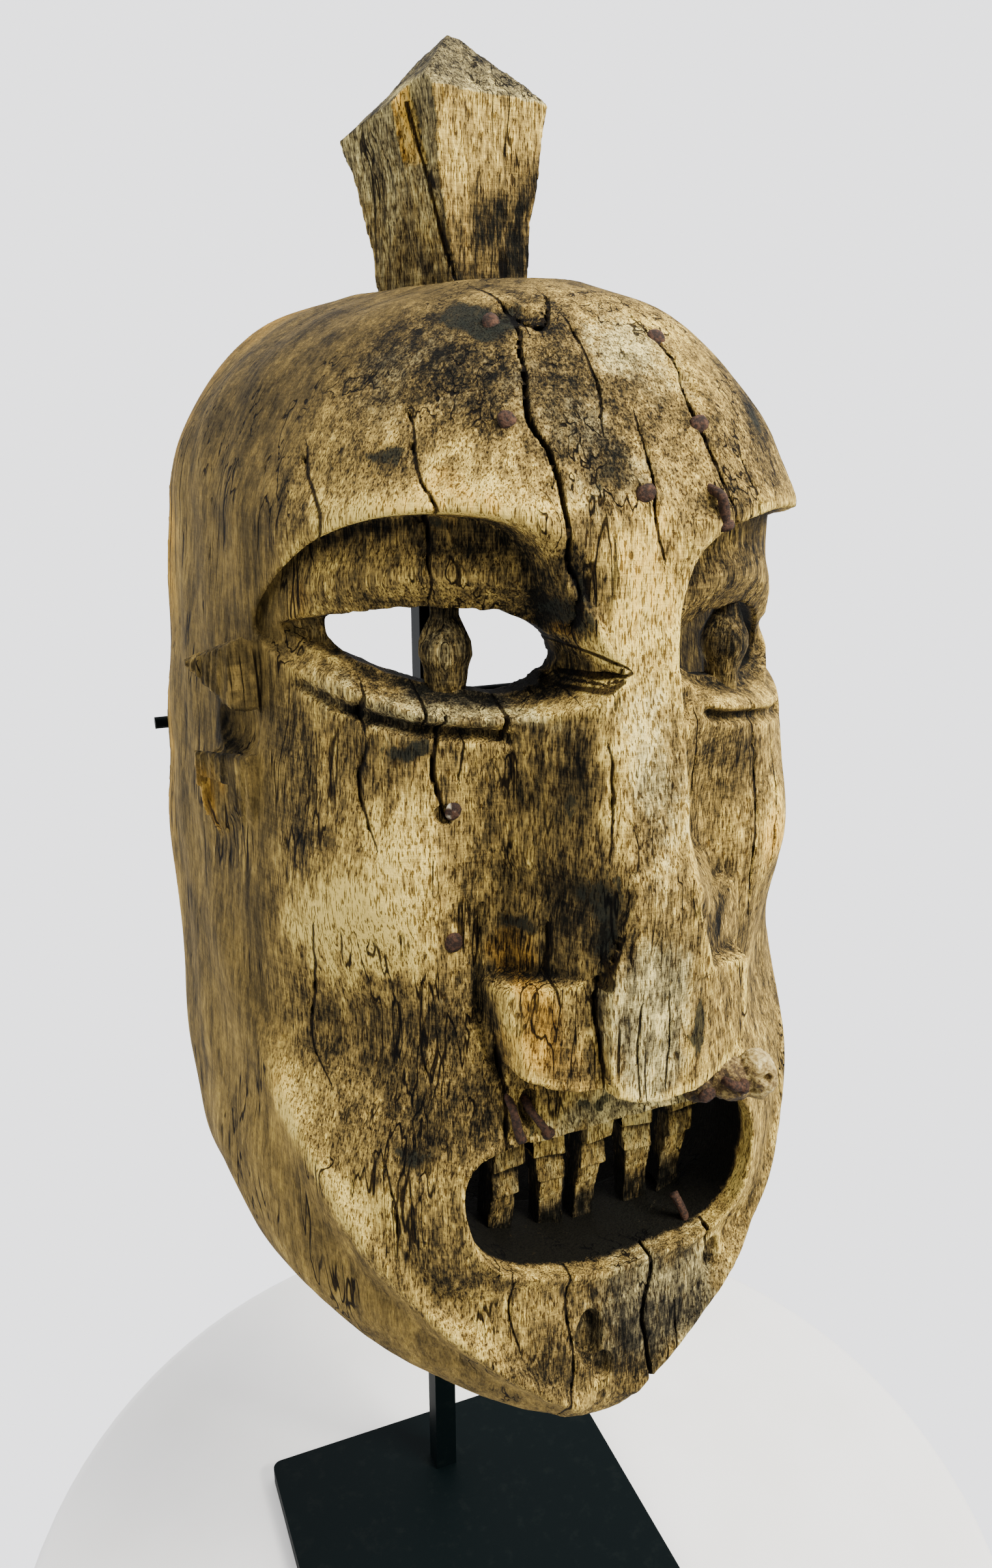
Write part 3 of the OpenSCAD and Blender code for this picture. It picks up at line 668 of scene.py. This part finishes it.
# The ear's broken layers show as dark and pale strips, with fresh wood low on its back edge; the hollow between
# the stubs is darkened as painted shade
stub = ramp(-82, -86, vx) * ramp(346, 354, vz) * ramp(424, 418, vz) * ramp(-53, -49, vy) * ramp(-19, -24, vy)
strips = SPLINTERS[np.floor(vy / 1.1 + 0.15 * vz).astype(int) % 40]
fresh = ramp(358, 366, vz) * ramp(388, 380, vz) + 0.7 * ramp(405, 408, vz) * ramp(413, 410, vz)
fresh = ramp(-36, -31, vy) * fresh * (0.6 + 0.4 * patchy(vy, vz, 2.5, 9, 15))
bowl = ramp(385, 390, vz) * ramp(406, 401, vz)
tone = tone + stub * (0.16 * strips + 0.30 * fresh - 0.30 * bowl)
give(
    mask,
    tone=np.clip(tone * (1 - inside) + carved * inside, -0.3, 1.2),
    blue=blotches(BLUE) * (1 - on_side) * (1 - inside),
    ochre=blotches(OCHRE) * (1 - on_side) + 0.45 * on_side * ramp(12, 34, vy) + 0.8 * stub * fresh,
    grey=blotches(GREY) * (1 - on_side),
    ridge=ridge * (1 - inside),
    smooth_side=on_side * (1 - inside),
    split=split,
    split_half=split_half,
)
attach(mask, "mask")
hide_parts("mask_shell")

# ---- materials


def rgba(colour):
    return colour if isinstance(colour, bpy.types.NodeSocket) else (*colour, 1)


class Graph:
    """The nodes of a procedural material or world, written as sums."""

    def __init__(self, owner):
        owner.use_nodes = True
        self.owner, self.tree = owner, owner.node_tree
        self.coords = self.node("TexCoord", {}).outputs

    def feed(self, n, inputs):
        for key, value in inputs.items():
            if isinstance(value, bpy.types.NodeSocket):
                self.tree.links.new(value, n.inputs[key])
            else:
                n.inputs[key].default_value = value

    def node(self, kind, inputs, **settings):
        n = self.tree.nodes.new("ShaderNode" + kind)
        for key, value in settings.items():
            setattr(n, key, value)
        self.feed(n, inputs)
        return n

    def vector(self, op, a, b):
        return self.node("VectorMath", {0: a, 1: b}, operation=op).outputs[0]

    def math(self, op, a, b=0.0):
        return self.node("Math", {0: a, 1: b}, operation=op).outputs[0]

    def add(self, *terms):
        """A sum; a term is a socket or a tuple of factors."""
        terms = (reduce(self.times, t) if isinstance(t, tuple) else t for t in terms)
        return reduce(lambda total, t: self.math("ADD", total, t), terms)

    def times(self, a, b):
        return self.math("MULTIPLY", a, b)

    def number(self, name):
        return self.node("Attribute", {}, attribute_name=name).outputs["Fac"]

    def noise(self, size, detail=3.0, rough=0.55, twist=0.0, shift=0.0):
        """Noise about 0, with patches of this size in mm along x, y and z."""
        p = self.vector("MULTIPLY", self.coords["Object"], (1 / MM,) * 3)
        p = self.vector("MULTIPLY", p, tuple(1 / v for v in size))
        if shift:
            p = self.vector("ADD", p, (shift, shift * 0.7, shift * 1.3))
        inputs = {"Vector": p, "Scale": 1.0, "Detail": detail, "Roughness": rough, "Distortion": twist}
        return self.math("SUBTRACT", self.node("TexNoise", inputs).outputs["Fac"], 0.5)

    def ramp(self, v, lo, hi, top=1.0):
        inputs = {"Value": v, "From Min": lo, "From Max": hi, "To Min": 0.0, "To Max": top}
        return self.node("MapRange", inputs, interpolation_type="SMOOTHSTEP").outputs["Result"]

    def colours(self, v, stops):
        n = self.node("ValToRGB", {"Fac": v})
        while len(n.color_ramp.elements) < len(stops):
            n.color_ramp.elements.new(0.5)
        for e, (at, colour) in zip(n.color_ramp.elements, stops):
            e.position = at
            e.color = rgba(colour)
        return n.outputs["Color"]

    def mix(self, share, a, b, how="MIX"):
        inputs = {0: share, 6: rgba(a), 7: rgba(b)}
        return self.node("Mix", inputs, data_type="RGBA", blend_type=how).outputs[2]

    def finish(self, colour, rough, height=None, tall=0.0003, strength=1.0, shine=0.4):
        inputs = {"Base Color": colour, "Roughness": rough, "Specular IOR Level": shine}
        if height is not None:
            bump = self.node("Bump", {"Distance": tall, "Strength": strength, "Height": height})
            inputs["Normal"] = bump.outputs["Normal"]
        self.feed(self.tree.nodes["Principled BSDF"], inputs)
        return self.owner


WOOD_COLOURS = [
    (0.0, (0.005, 0.0045, 0.0025)), (0.2, (0.032, 0.023, 0.009)), (0.4, (0.105, 0.072, 0.023)),
    (0.6, (0.25, 0.168, 0.046)), (0.8, (0.48, 0.33, 0.077)), (1.0, (0.84, 0.62, 0.155)),
]
GREY_COLOURS = [
    (0.0, (0.006, 0.006, 0.004)), (0.3, (0.048, 0.041, 0.024)), (0.6, (0.205, 0.172, 0.080)),
    (1.0, (0.77, 0.65, 0.26)),
]
HIDE_COLOURS = [
    (0.0, (0.012, 0.009, 0.005)), (0.3, (0.075, 0.045, 0.015)), (0.55, (0.27, 0.19, 0.060)),
    (0.8, (0.47, 0.37, 0.15)), (1.0, (0.72, 0.60, 0.32)),
]
OCHRE_TINT, PORE_TINT, CRACK_TINT = (1.0, 0.78, 0.42), (0.16, 0.12, 0.07), (0.03, 0.02, 0.012)
SOOT = (0.012, 0.014, 0.010)
PAINT, PAINT_DUST = (0.0016, 0.0035, 0.0038), (0.003, 0.005, 0.005)
RUST_DARK, RUST, RUST_PALE = (0.016, 0.009, 0.006), (0.060, 0.028, 0.015), (0.10, 0.048, 0.024)
LIME = (0.62, 0.55, 0.38)


def weathered_wood():
    g = Graph(bpy.data.materials.new("weathered_wood"))
    tone, blue, ochre, grey = (g.number(name) for name in ("tone", "blue", "ochre", "grey"))
    lively = g.math("SUBTRACT", 1.0, g.times(g.number("smooth_side"), 0.66))
    mottle = g.noise((15, 15, 24), 5, 0.62, 0.8)
    brush = g.noise((4.5, 4.5, 12), 5, 0.66, 0.3, shift=83)
    fleck = g.noise((1.6, 1.6, 3.6), 3, 0.7, shift=11)
    grain = g.noise((0.6, 0.6, 7), 4, 0.65, 0.15, shift=5)
    streak = g.noise((2.2, 2.2, 46), 4, 0.65, shift=47)
    pores = g.noise((0.42, 0.42, 2.8), 2, 0.5, shift=23)
    scratch = g.noise((8, 8, 0.55), 2, 0.6, 0.6, shift=31)
    # ridge: pale wear on proud edges, painted shade in hollows
    v = g.add(
        tone, (mottle, 0.8), (brush, 1.15, lively), (fleck, 0.9, lively), (grain, 1.15, lively), (streak, 0.6),
        (scratch, 0.3, lively), (g.number("ridge"), 0.15),
    )
    colour = g.colours(v, WOOD_COLOURS)
    faded = g.add(grey, (mottle, 1.2), (fleck, 1.2))
    colour = g.mix(g.ramp(faded, 0.15, 0.75, 0.85), colour, g.colours(v, GREY_COLOURS))
    warm = g.add(ochre, (mottle, 1.1), (streak, 0.9))
    colour = g.mix(g.ramp(warm, 0.1, 0.8, 0.85), colour, OCHRE_TINT, "MULTIPLY")
    stain = g.add(blue, (brush, 1.6), fleck, mottle, (grain, 0.8))
    colour = g.mix(g.ramp(stain, 0.44, 0.70, 0.93), colour, SOOT)
    dots = g.times(g.ramp(pores, 0.055, 0.10), g.times(lively, 0.9))
    colour = g.mix(dots, colour, PORE_TINT, "MULTIPLY")
    hair = g.math("ABSOLUTE", g.noise((5, 5, 75), 2, 0.5, 0.25, shift=61))
    some = g.ramp(g.noise((22, 22, 30), 1, shift=71), 0.02, 0.08)
    hairs = g.times(g.ramp(hair, 0.020, 0.007), some)
    edge = g.math("SUBTRACT", g.math("ABSOLUTE", g.number("split")), g.number("split_half"))
    hairs = g.math("MAXIMUM", hairs, g.ramp(edge, 0.28, -0.05))
    colour = g.mix(g.times(hairs, 0.96), colour, CRACK_TINT, "MULTIPLY")
    height = g.add((grain, 0.6), (fleck, 0.55), (dots, -0.45), (hairs, -0.9), (scratch, 0.2))
    return g.finish(colour, 0.85, height, 0.0012, 0.9, shine=0.08)


def steel_paint():
    g = Graph(bpy.data.materials.new("black_steel"))
    dust = g.noise((6, 6, 6), 4, 0.7)
    colour = g.mix(g.ramp(dust, 0.02, 0.2), PAINT, PAINT_DUST)
    return g.finish(colour, 0.5, g.noise((0.6, 0.6, 0.6), 2), 0.0001, 0.3, shine=0.03)


def rusty_iron():
    g = Graph(bpy.data.materials.new("rusty_iron"))
    crust = g.noise((1.1, 1.1, 1.1), 4, 0.7)
    colour = g.mix(g.ramp(crust, -0.1, 0.12), RUST_DARK, RUST)
    colour = g.mix(g.ramp(g.noise((2.2, 2.2, 2.2), 3, shift=9), 0.1, 0.2, 0.7), colour, RUST_PALE)
    colour = g.mix(g.ramp(g.number("white"), 0.4, 0.7, 0.9), colour, LIME)
    return g.finish(colour, 0.8, crust, 0.0006, 0.9, shine=0.2)


def old_hide():
    g = Graph(bpy.data.materials.new("old_hide"))
    lump = g.noise((3.5, 3.5, 3.5), 5, 0.7, 0.5)
    v = g.add(g.number("tone"), (lump, 1.6), (g.noise((0.9, 0.9, 0.9), 3), 0.9))
    return g.finish(g.colours(v, HIDE_COLOURS), 0.8, lump, 0.0012, 0.9, shine=0.25)


wood, hide, rust, steel = weathered_wood(), old_hide(), rusty_iron(), steel_paint()
mask.data.materials.append(wood)


def carved_piece(name, field, lo, hi, step, body, node, paint, slot="weathered_wood"):
    """A piece meshed from its own field; paint gives its stains, and for some pieces painted light and shade.
    """
    step = step * 1.0
    points, quads = field_mesh(field, lo, hi, step)
    points, out = settle(field, points, step)
    ob = make_object(name, points, quads)
    values = dict.fromkeys(("blue", "ochre", "grey", "ridge", "smooth_side"), 0.0)
    values.update(tone=0.5, split=4.0, split_half=UNCUT)
    values.update(paint(*points.T, out))
    give(ob, **{k: np.broadcast_to(v, len(points)) for k, v in values.items()})
    ob.data.materials.append(hide if slot == "old_hide" else wood)
    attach(ob, body)
    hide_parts(node)


# Crest: a flared square post, a little askew, with a hipped top; heights are above the crown
FOOT = [(-10, -11), (13, -9), (3, 19), (-25, 15)]
EAVE = [(-20, -14), (21, -7), (11, 33), (-33, 24)]
EAVE_Z = [51, 49, 43, 41]
TOP = (-4, 7, 67.5)


def crest_crack(h):
    return np.interp(h, [-2, 12, 24, 36, 52], [-8.0, -11.5, -14.0, -16.5, -18.3])


def crest_field(x, y, z):
    h = z - CROWN
    d = np.full(x.shape, -99.0)
    corner = []
    for (fx, fy), (ex, ey), ez in zip(FOOT, EAVE, EAVE_Z):
        t = np.clip(h / ez, -0.2, 1.05)
        s = 0.50 * t + 0.50 * t * np.abs(t)
        corner.append((fx + (ex - fx) * s, fy + (ey - fy) * s))
    for i in range(4):
        (ax, ay), (bx, by) = corner[i], corner[(i + 1) % 4]
        n = np.hypot(bx - ax, by - ay)
        d = np.maximum(d, ((x - ax) * (by - ay) - (y - ay) * (bx - ax)) / n)
        (px, py), (qx, qy) = EAVE[i], EAVE[(i + 1) % 4]
        p, q, r = (np.array(v, float) for v in ((px, py, EAVE_Z[i]), (qx, qy, EAVE_Z[(i + 1) % 4]), TOP))
        up = np.cross(q - p, r - p)
        up /= np.linalg.norm(up) * (1 if up[2] > 0 else -1)
        d = np.maximum(d, (x - p[0]) * up[0] + (y - p[1]) * up[1] + (h - p[2]) * up[2] - 0.4)
    d = d + 0.5 * patchy(x + 0.8 * y, z, 9, 12, 51) + 0.25 * patchy(x - y, z, 3, 5, 52)
    # a knocked peak
    d = np.maximum(d, 4.2 - np.sqrt((x + 3) ** 2 + (y - 8) ** 2 + (h - 70) ** 2))
    # the split beside the front corner, wide at the top
    wide = np.interp(h, [-2, 18, 30, 36, 50, 60], [0.25, 0.4, 0.7, 1.5, 1.7, 0.6])
    into = np.interp(h, [0, 30, 50], [5, 8, 14])
    bend = 0.6 * patchy(z, z, 7, 7, 53)
    split = np.maximum(np.abs(x + 0.15 * (y + 14) - crest_crack(h) - bend) - wide, y + 15 - into)
    d = np.maximum(d, -split)
    chip = np.maximum(np.abs(x - crest_crack(h) + 4.2) - 2.2, np.abs(h - 42) - 9)
    d = np.where((y < 0) & (chip < 1), np.maximum(d, np.minimum(-chip, d + 1.3)), d)
    return np.maximum(d, -2.0 - h)


def crest_paint(x, y, z, out):
    h = z - CROWN
    # Painted shade: the left face is darker, most of all low down, and greyer
    left_face = ramp(0.2, 0.5, -out[:, 0]) * (1 - ramp(0.5, 0.7, out[:, 2]))
    roof = ramp(0.45, 0.62, out[:, 2])
    scorch = ramp(12, -6, h - 21 - 0.55 * x + 3 * patchy(x, h, 5, 5, 55))
    scorch = scorch * (0.95 + 0.3 * patchy(x, h, 7, 9, 56))
    tone = 0.74 - 0.12 * left_face - 0.34 * roof - 0.58 * scorch * (1 - left_face)
    tone = tone - 0.22 * left_face * ramp(40, 0, h)
    eave = ramp(3.6, 1.2, np.abs(h - np.interp(x, [-20, 21], [51.5, 48.5]) - 1)) * ramp(0.1, 0.3, out[:, 2])
    chip = ramp(3.6, 2.0, np.abs(x - crest_crack(h) + 4.2)) * ramp(11, 8, np.abs(h - 42)) * (y < 0)
    return dict(
        tone=tone + 0.22 * eave + 0.25 * chip,
        grey=left_face * (0.35 + 0.4 * ramp(15, 45, h)) + 0.95 * roof + 0.5 * eave,
        ochre=1.2 * chip + 0.1 * (1 - left_face) * (1 - roof),
        blue=0.12 * scorch * ramp(20, 5, h),
        split=np.clip(x + 0.15 * (y + 14) - crest_crack(h), -4, 4),
        split_half=np.where((y < 0) & (h < 49), 0.3, UNCUT),
    )


crest_low, crest_high = (-38, -20, CROWN - 4), (27, 38, CROWN + 70)
carved_piece("crest_wood", crest_field, crest_low, crest_high, 0.8, "mask", "crest", crest_paint)


def in_mm(box):
    """The low and high corners and the middle of a box that is given in metres."""
    low, high = (np.array(v) / MM for v in box)
    return low, high, (low + high) / 2


def pupil(side, seed):
    """A turned bead with facets, widest at its waist."""
    low, high, mid = in_mm(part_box("pupil_" + side))

    def bead(x, y, z):
        u, v, h = x - mid[0], y - mid[1], z - mid[2]
        turn = np.arctan2(v, u)
        r = np.interp(h, [-15, -10, -6, -2, 1.5, 5, 8, 15], [5.0, 5.0, 5.6, 6.9, 6.6, 5.0, 3.6, 3.3])
        facets = 0.45 * np.abs(np.sin(2.5 * turn + seed + 0.08 * h)) + 0.4 * patchy(turn * 6, h, 4, 4, seed)
        return np.maximum((np.hypot(u, v) - (r - facets + 0.25)) * 0.9, np.abs(h) - 14.8)

    def paint(x, y, z, out):
        h = z - mid[2]
        # Painted light and shade: darker towards the top, under the brow, lighter low down
        tone = 0.25 + 0.10 * ramp(2, -6, h) - 0.12 * ramp(2, 9, h) + 0.06 * (x < mid[0])
        return dict(tone=tone, grey=0.3, blue=0.25 * (h > 5))

    name = "pupil_wood_" + side
    carved_piece(name, bead, low - 1.5, high + 1.5, 0.6, "mask", "pupil_" + side, paint, "dark_wood")


def tooth(node, cut, proud, lean, shade):
    """A slat with a step at the height cut, below which it stands out, and a notch under that."""
    low, high, mid = in_mm(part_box(node))
    seed = int(node[-1]) * 7

    def slat(x, y, z):
        step = ramp(cut - 0.5, cut + 0.5, z) - 0.7 * ramp(cut - 8.6, cut - 9.6, z)
        u = x - mid[0] - lean * (z - mid[2]) - 0.9 * np.sign(lean) * step
        half = (high[0] - low[0]) / 2 - 0.1 + 0.5 * patchy(z, y, 9, 9, seed) + 0.6 * step
        face = low[1] + 0.3 + proud * (1 - step) * 0.8 - 1.9 * np.exp(-(((z - cut + 10) / 7) ** 2))
        face = face + 0.35 * patchy(x, z, 3, 2.2, seed + 1) + 0.12 * u * np.sign(lean)
        d = np.maximum(np.abs(u) - half, np.maximum(face - y, y - high[1]))
        return np.maximum(d, np.abs(z - mid[2]) - (high[2] - low[2]) / 2)

    def paint(x, y, z, out):
        # Painted shade: a dark line under the step, darker side faces, and darker towards the back and low down
        tone = shade + 0.12 * ramp(cut - 0.5, cut + 0.5, z) - 0.3 * np.exp(-((z - cut + 1.2) ** 2))
        tone = tone - 0.35 * ramp(0.3, 0.7, np.abs(out[:, 0])) - 0.30 * ramp(-86, -79, y)
        tone = tone - 0.5 * ramp(cut - 16, cut - 24, z)
        return dict(tone=tone, grey=0.35, ochre=0.2 * (z < cut), blue=0.2)

    name = "tooth_wood_" + node[-1]
    carved_piece(name, slat, low - 1.5, high + 1.5, 0.6, "mask", node, paint, "dark_wood")


pupil("right", 61)
pupil("left", 64)
for values in (
    ("tooth_1", 268, 1.8, 0.02, 0.50), ("tooth_2", 269, 2.6, -0.03, 0.68), ("tooth_3", 270, 3.0, 0.05, 0.72),
    ("tooth_4", 272, 2.8, -0.04, 0.74), ("tooth_5", 274, 2.4, 0.06, 0.66),
):
    tooth(*values)


def blob(x, y, z, centre, radii):
    """Below 0 inside an ellipsoid, as a share of its radii."""
    return np.sqrt(sum(((v - c) / r) ** 2 for v, c, r in zip((x, y, z), centre, radii))) - 1


# Scrap of hide that is left of the moustache: a pitted knob and the crushed flap it grows from
def scrap_field(x, y, z):
    knob = 5.8 * blob(x, y, z, (39.2, -115, 302), (5.8, 6.4, 7.2))
    neck = 6.2 * blob(x, y, z + 0.1 * (x - 31), (31.5, -112.5, 301), (7.0, 7.0, 6.2))
    flap = 4.2 * blob(x, y, z - 0.25 * (x - 25), (25, -110, 299.5), (6.0, 6.0, 4.2))
    d = np.minimum(np.minimum(knob, neck), flap)
    d = d + 0.5 * patchy(x + y, z - y, 2.6, 2.6, 91) + 0.25 * patchy(x - y, z + y, 1.2, 1.2, 92)
    pits = np.minimum(
        np.hypot(np.hypot(x - 39, z - 303.5), 0.6 * (y + 121)) - 1.5,
        np.hypot(np.hypot(x - 36, z - 299.5), 0.6 * (y + 120)) - 1.2,
    )
    return np.maximum(d, -pits)


def scrap_paint(x, y, z, out):
    # Paler on the knob; lighter at the top and darker underneath: painted light and shade
    return dict(tone=0.24 + 0.30 * ramp(31, 38, x) + 0.12 * ramp(303, 308, z) - 0.2 * ramp(299, 295, z))


carved_piece(
    "hide_scrap", scrap_field, (15, -125, 288), (48, -100, 313), 0.6, "mask", "moustache_scrap", scrap_paint,
    "old_hide",
)


# Hand-made nails: each is a worn head on its shank, turned round a path
ROD_SIDES = 14
HEAD = [  # how far along, radius
    (0, 0), (0.05, 0.9), (0.3, 1.8), (0.8, 2.4), (1.3, 2.45), (1.6, 2.1), (1.65, 1.15), (4, 1.1), (8, 0.7),
]


def front_of(x, z):
    """Where the face's surface lies at this place, looking from the front."""
    y = np.arange(-134, -40, 0.25)
    d = mask_field(np.full(y.shape, float(x)), y.copy(), np.full(y.shape, float(z)))
    return float(y[np.argmax(d < 0)])


def hoops(count, around):
    """Quads that join this many hoops, each of so many points."""
    return [
        (i + k, i + (k + 1) % around, i + around + (k + 1) % around, i + around + k)
        for i in range(0, (count - 1) * around, around)
        for k in range(around)
    ]


def turned(path, radii, seed):
    """A rough rod along a path, with a radius at each of its points."""
    rng = np.random.default_rng(seed)
    path, radii = np.array(path, float), np.array(radii, float)
    points = []
    for i, (p, r) in enumerate(zip(path, radii)):
        ahead = path[min(i + 1, len(path) - 1)] - path[max(i - 1, 0)]
        ahead /= max(np.linalg.norm(ahead), 1e-6)
        u = np.cross(ahead, (0.3, 0.2, 1.0))
        u /= np.linalg.norm(u)
        w = np.cross(ahead, u)
        for k in range(ROD_SIDES):
            a = 2 * math.pi * k / ROD_SIDES
            q = max(r, 0.02) * (1 + 0.10 * math.sin(2 * a + seed) + rng.uniform(-0.06, 0.06))
            points.append(p + q * (math.cos(a) * u + math.sin(a) * w))
    return np.array(points), np.array(hoops(len(path), ROD_SIDES))


def headed(top, along, seed, size=1.0):
    """A nail from the top of its round head into the wood."""
    return turned([np.array(top) + along * t for t, _ in HEAD], [r * size for _, r in HEAD], seed)


def driven(x, z, seed, tilt=(0, 0), proud=1.3, size=1.0):
    """A nail hammered into the face: its head stands proud of the wood."""
    along = np.array([tilt[0], 1.0, tilt[1]])
    return headed((x, front_of(x, z) - proud, z), along / np.linalg.norm(along), seed, size)


def bent(points, seed, head=2.2):
    """A nail that stands out and is bent over, head first."""
    line = rounded(points, closed=False, steps=5) if len(points) > 2 else np.array(points, float)
    start = line[0] - line[1]
    start /= np.linalg.norm(start)
    path = [line[0] + start * 1.3, line[0] + start * 1.2] + list(line)
    radii = [0.05, head, head * 0.9] + [1.25 - 0.01 * i for i in range(len(line) - 1)]
    return turned(path, radii, seed)


def nails(node, parts, white=()):
    """One piece from several nails; white lists those with lime on them."""
    points, quads, pale = [], [], []
    for i, (p, q) in enumerate(parts):
        quads.append(q + sum(len(v) for v in points))
        points.append(p)
        pale.append(np.full(len(p), float(i in white)))
    points, quads, pale = (np.concatenate(v) for v in (points, quads, pale))
    ob = make_object(node + "_iron", points, quads)
    give(ob, white=pale * (0.5 + 0.5 * patchy(points[:, 0], points[:, 2], 1.5, 1.5, 5)))
    ob.data.materials.append(rust)
    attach(ob, "mask")
    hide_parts(node)


FOREHEAD_NAILS = [  # x, z, tilt
    (-24, 499, (0.1, -0.4)), (-29, 477, (0.1, -0.2)), (17, 496, (-0.1, -0.4)), (19, 476, (-0.1, -0.2)),
    (-1, 461, (0.05, 0.05)),
]
nails("forehead_nails", [driven(x, z, 100 + k, tilt) for k, (x, z, tilt) in enumerate(FOREHEAD_NAILS)])
nails("cheek_nails", [driven(-42, 384, 111, proud=1.0), driven(-42, 347, 112, proud=1.1, size=1.1)], white=(0,))
brow_y = front_of(17, 461)
brow_path = [
    (19.5, brow_y - 2.6, 454), (18.6, brow_y - 3.6, 457), (17.5, brow_y - 3.0, 460.5), (17, brow_y + 4, 462),
]
nails("brow_nail", [bent(brow_path, 113)])
lip_y = front_of(-25, 300)
outer_path = [
    (-29.5, lip_y - 1.6, 294.5), (-30.5, lip_y - 2.2, 298), (-31.5, lip_y - 1.6, 303), (-31.5, lip_y + 4, 306),
]
inner_path = [
    (-22.5, lip_y - 3.2, 295.5), (-24, lip_y - 3.0, 298), (-26.5, lip_y - 1.5, 302), (-26.5, lip_y + 4, 303.5),
]
nails("lip_nails", [bent(outer_path, 114, 1.6), bent(inner_path, 115, 2.0)])
scrap_path = [(31.5, -119.5, 302.2), (29.5, -120.0, 303.0), (28.0, -118.5, 303.5), (27.5, -112, 303.5)]
scrap_nail = headed((22.5, -117.6, 299.6), np.array([0.1, 1, 0.1]), 116)
nails("moustache_nails", [scrap_nail, bent(scrap_path, 117, 2.1)])
nails("mouth_nail", [bent([(27.2, -96.4, 250.5), (29.4, -98.0, 245.2), (30.3, -98.4, 241)], 118, 1.35)])

# ---- camera, table and light; all in metres
EYE, GAZE = (-0.1363, -0.3534, 0.4840), (0.357, 0.878, -0.319)
FOCAL, FILM_HEIGHT, NEAREST = 27.02, 36, 0.01  # the first two in mm
TABLE_CENTRE, TABLE_POINTS = (0.017, 0.001), 96
TABLE_RINGS = [(0.18, 0), (0.205, 0), (0.209, -0.0015), (0.211, -0.006), (0.211, -0.03)]  # radius, height
TABLE_WHITE, TABLE_PALER = (0.80, 0.79, 0.75), (0.84, 0.83, 0.80)
SKY_WHITE = (0.97, 0.97, 1.0, 1)
SKY_FADE = {"From Min": -0.25, "From Max": 0.35, "To Min": 0.85, "To Max": 2.5}
LAMP_PLACE, LAMP_AIM, LAMP_SIDE = (0.7, -1.0, 1.5), (0, -0.05, 0.36), 0.7
LAMP_WATTS, LAMP_WHITE = 85, (1, 0.97, 0.92)


def show(name, data):
    ob = bpy.data.objects.new(name, data)
    bpy.context.scene.collection.objects.link(ob)
    return ob


cam = show("camera", bpy.data.cameras.new("camera"))
cam.data.sensor_fit = "VERTICAL"
cam.data.sensor_height = FILM_HEIGHT
cam.data.lens = FOCAL
cam.data.clip_start = NEAREST
cam.location = EYE
cam.rotation_euler = Vector(GAZE).to_track_quat("-Z", "Y").to_euler()
bpy.context.scene.camera = cam

# Round white table with a softly rounded edge
mesh = bpy.data.meshes.new("table")
turns = [2 * math.pi * i / TABLE_POINTS for i in range(TABLE_POINTS)]
middle_x, middle_y = TABLE_CENTRE
points = [(middle_x + r * math.cos(a), middle_y + r * math.sin(a), h) for r, h in TABLE_RINGS for a in turns]
top, last = list(range(TABLE_POINTS)), len(points) - 1
sides = [face[::-1] for face in hoops(len(TABLE_RINGS), TABLE_POINTS)]
mesh.from_pydata(points, [], [top, [last - i for i in top]] + sides)
mesh.polygons.foreach_set("use_smooth", [True] * len(mesh.polygons))
table_ob = show("table", mesh)
paint = Graph(bpy.data.materials.new("table_white"))
shade = paint.ramp(paint.noise((60, 60, 60)), -0.2, 0.2)
table_ob.data.materials.append(paint.finish(paint.mix(shade, TABLE_WHITE, TABLE_PALER), 0.7))

# Backdrop: brighter towards the back
world = bpy.data.worlds.new("studio")
bpy.context.scene.world = world
sky = Graph(world)
back = sky.node("SeparateXYZ", {0: sky.coords["Generated"]}).outputs["Y"]
fade = sky.node("MapRange", {"Value": back, **SKY_FADE}, interpolation_type="SMOOTHSTEP").outputs["Result"]
sky.feed(sky.tree.nodes["Background"], {"Color": SKY_WHITE, "Strength": fade})

key_light = bpy.data.lights.new("key", "AREA")
key_light.size = LAMP_SIDE
key_light.energy = LAMP_WATTS
key_light.color = LAMP_WHITE
key = show("key", key_light)
key.location = LAMP_PLACE
key.rotation_euler = (Vector(LAMP_AIM) - Vector(LAMP_PLACE)).to_track_quat("-Z", "Y").to_euler()

STEEL_NODES = ("base_plate", "post", "post_screw", "cross_bar", "top_hook")
for n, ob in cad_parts.items():
    ob.data.materials.clear()
    ob.data.materials.append(steel if n in STEEL_NODES else rust)
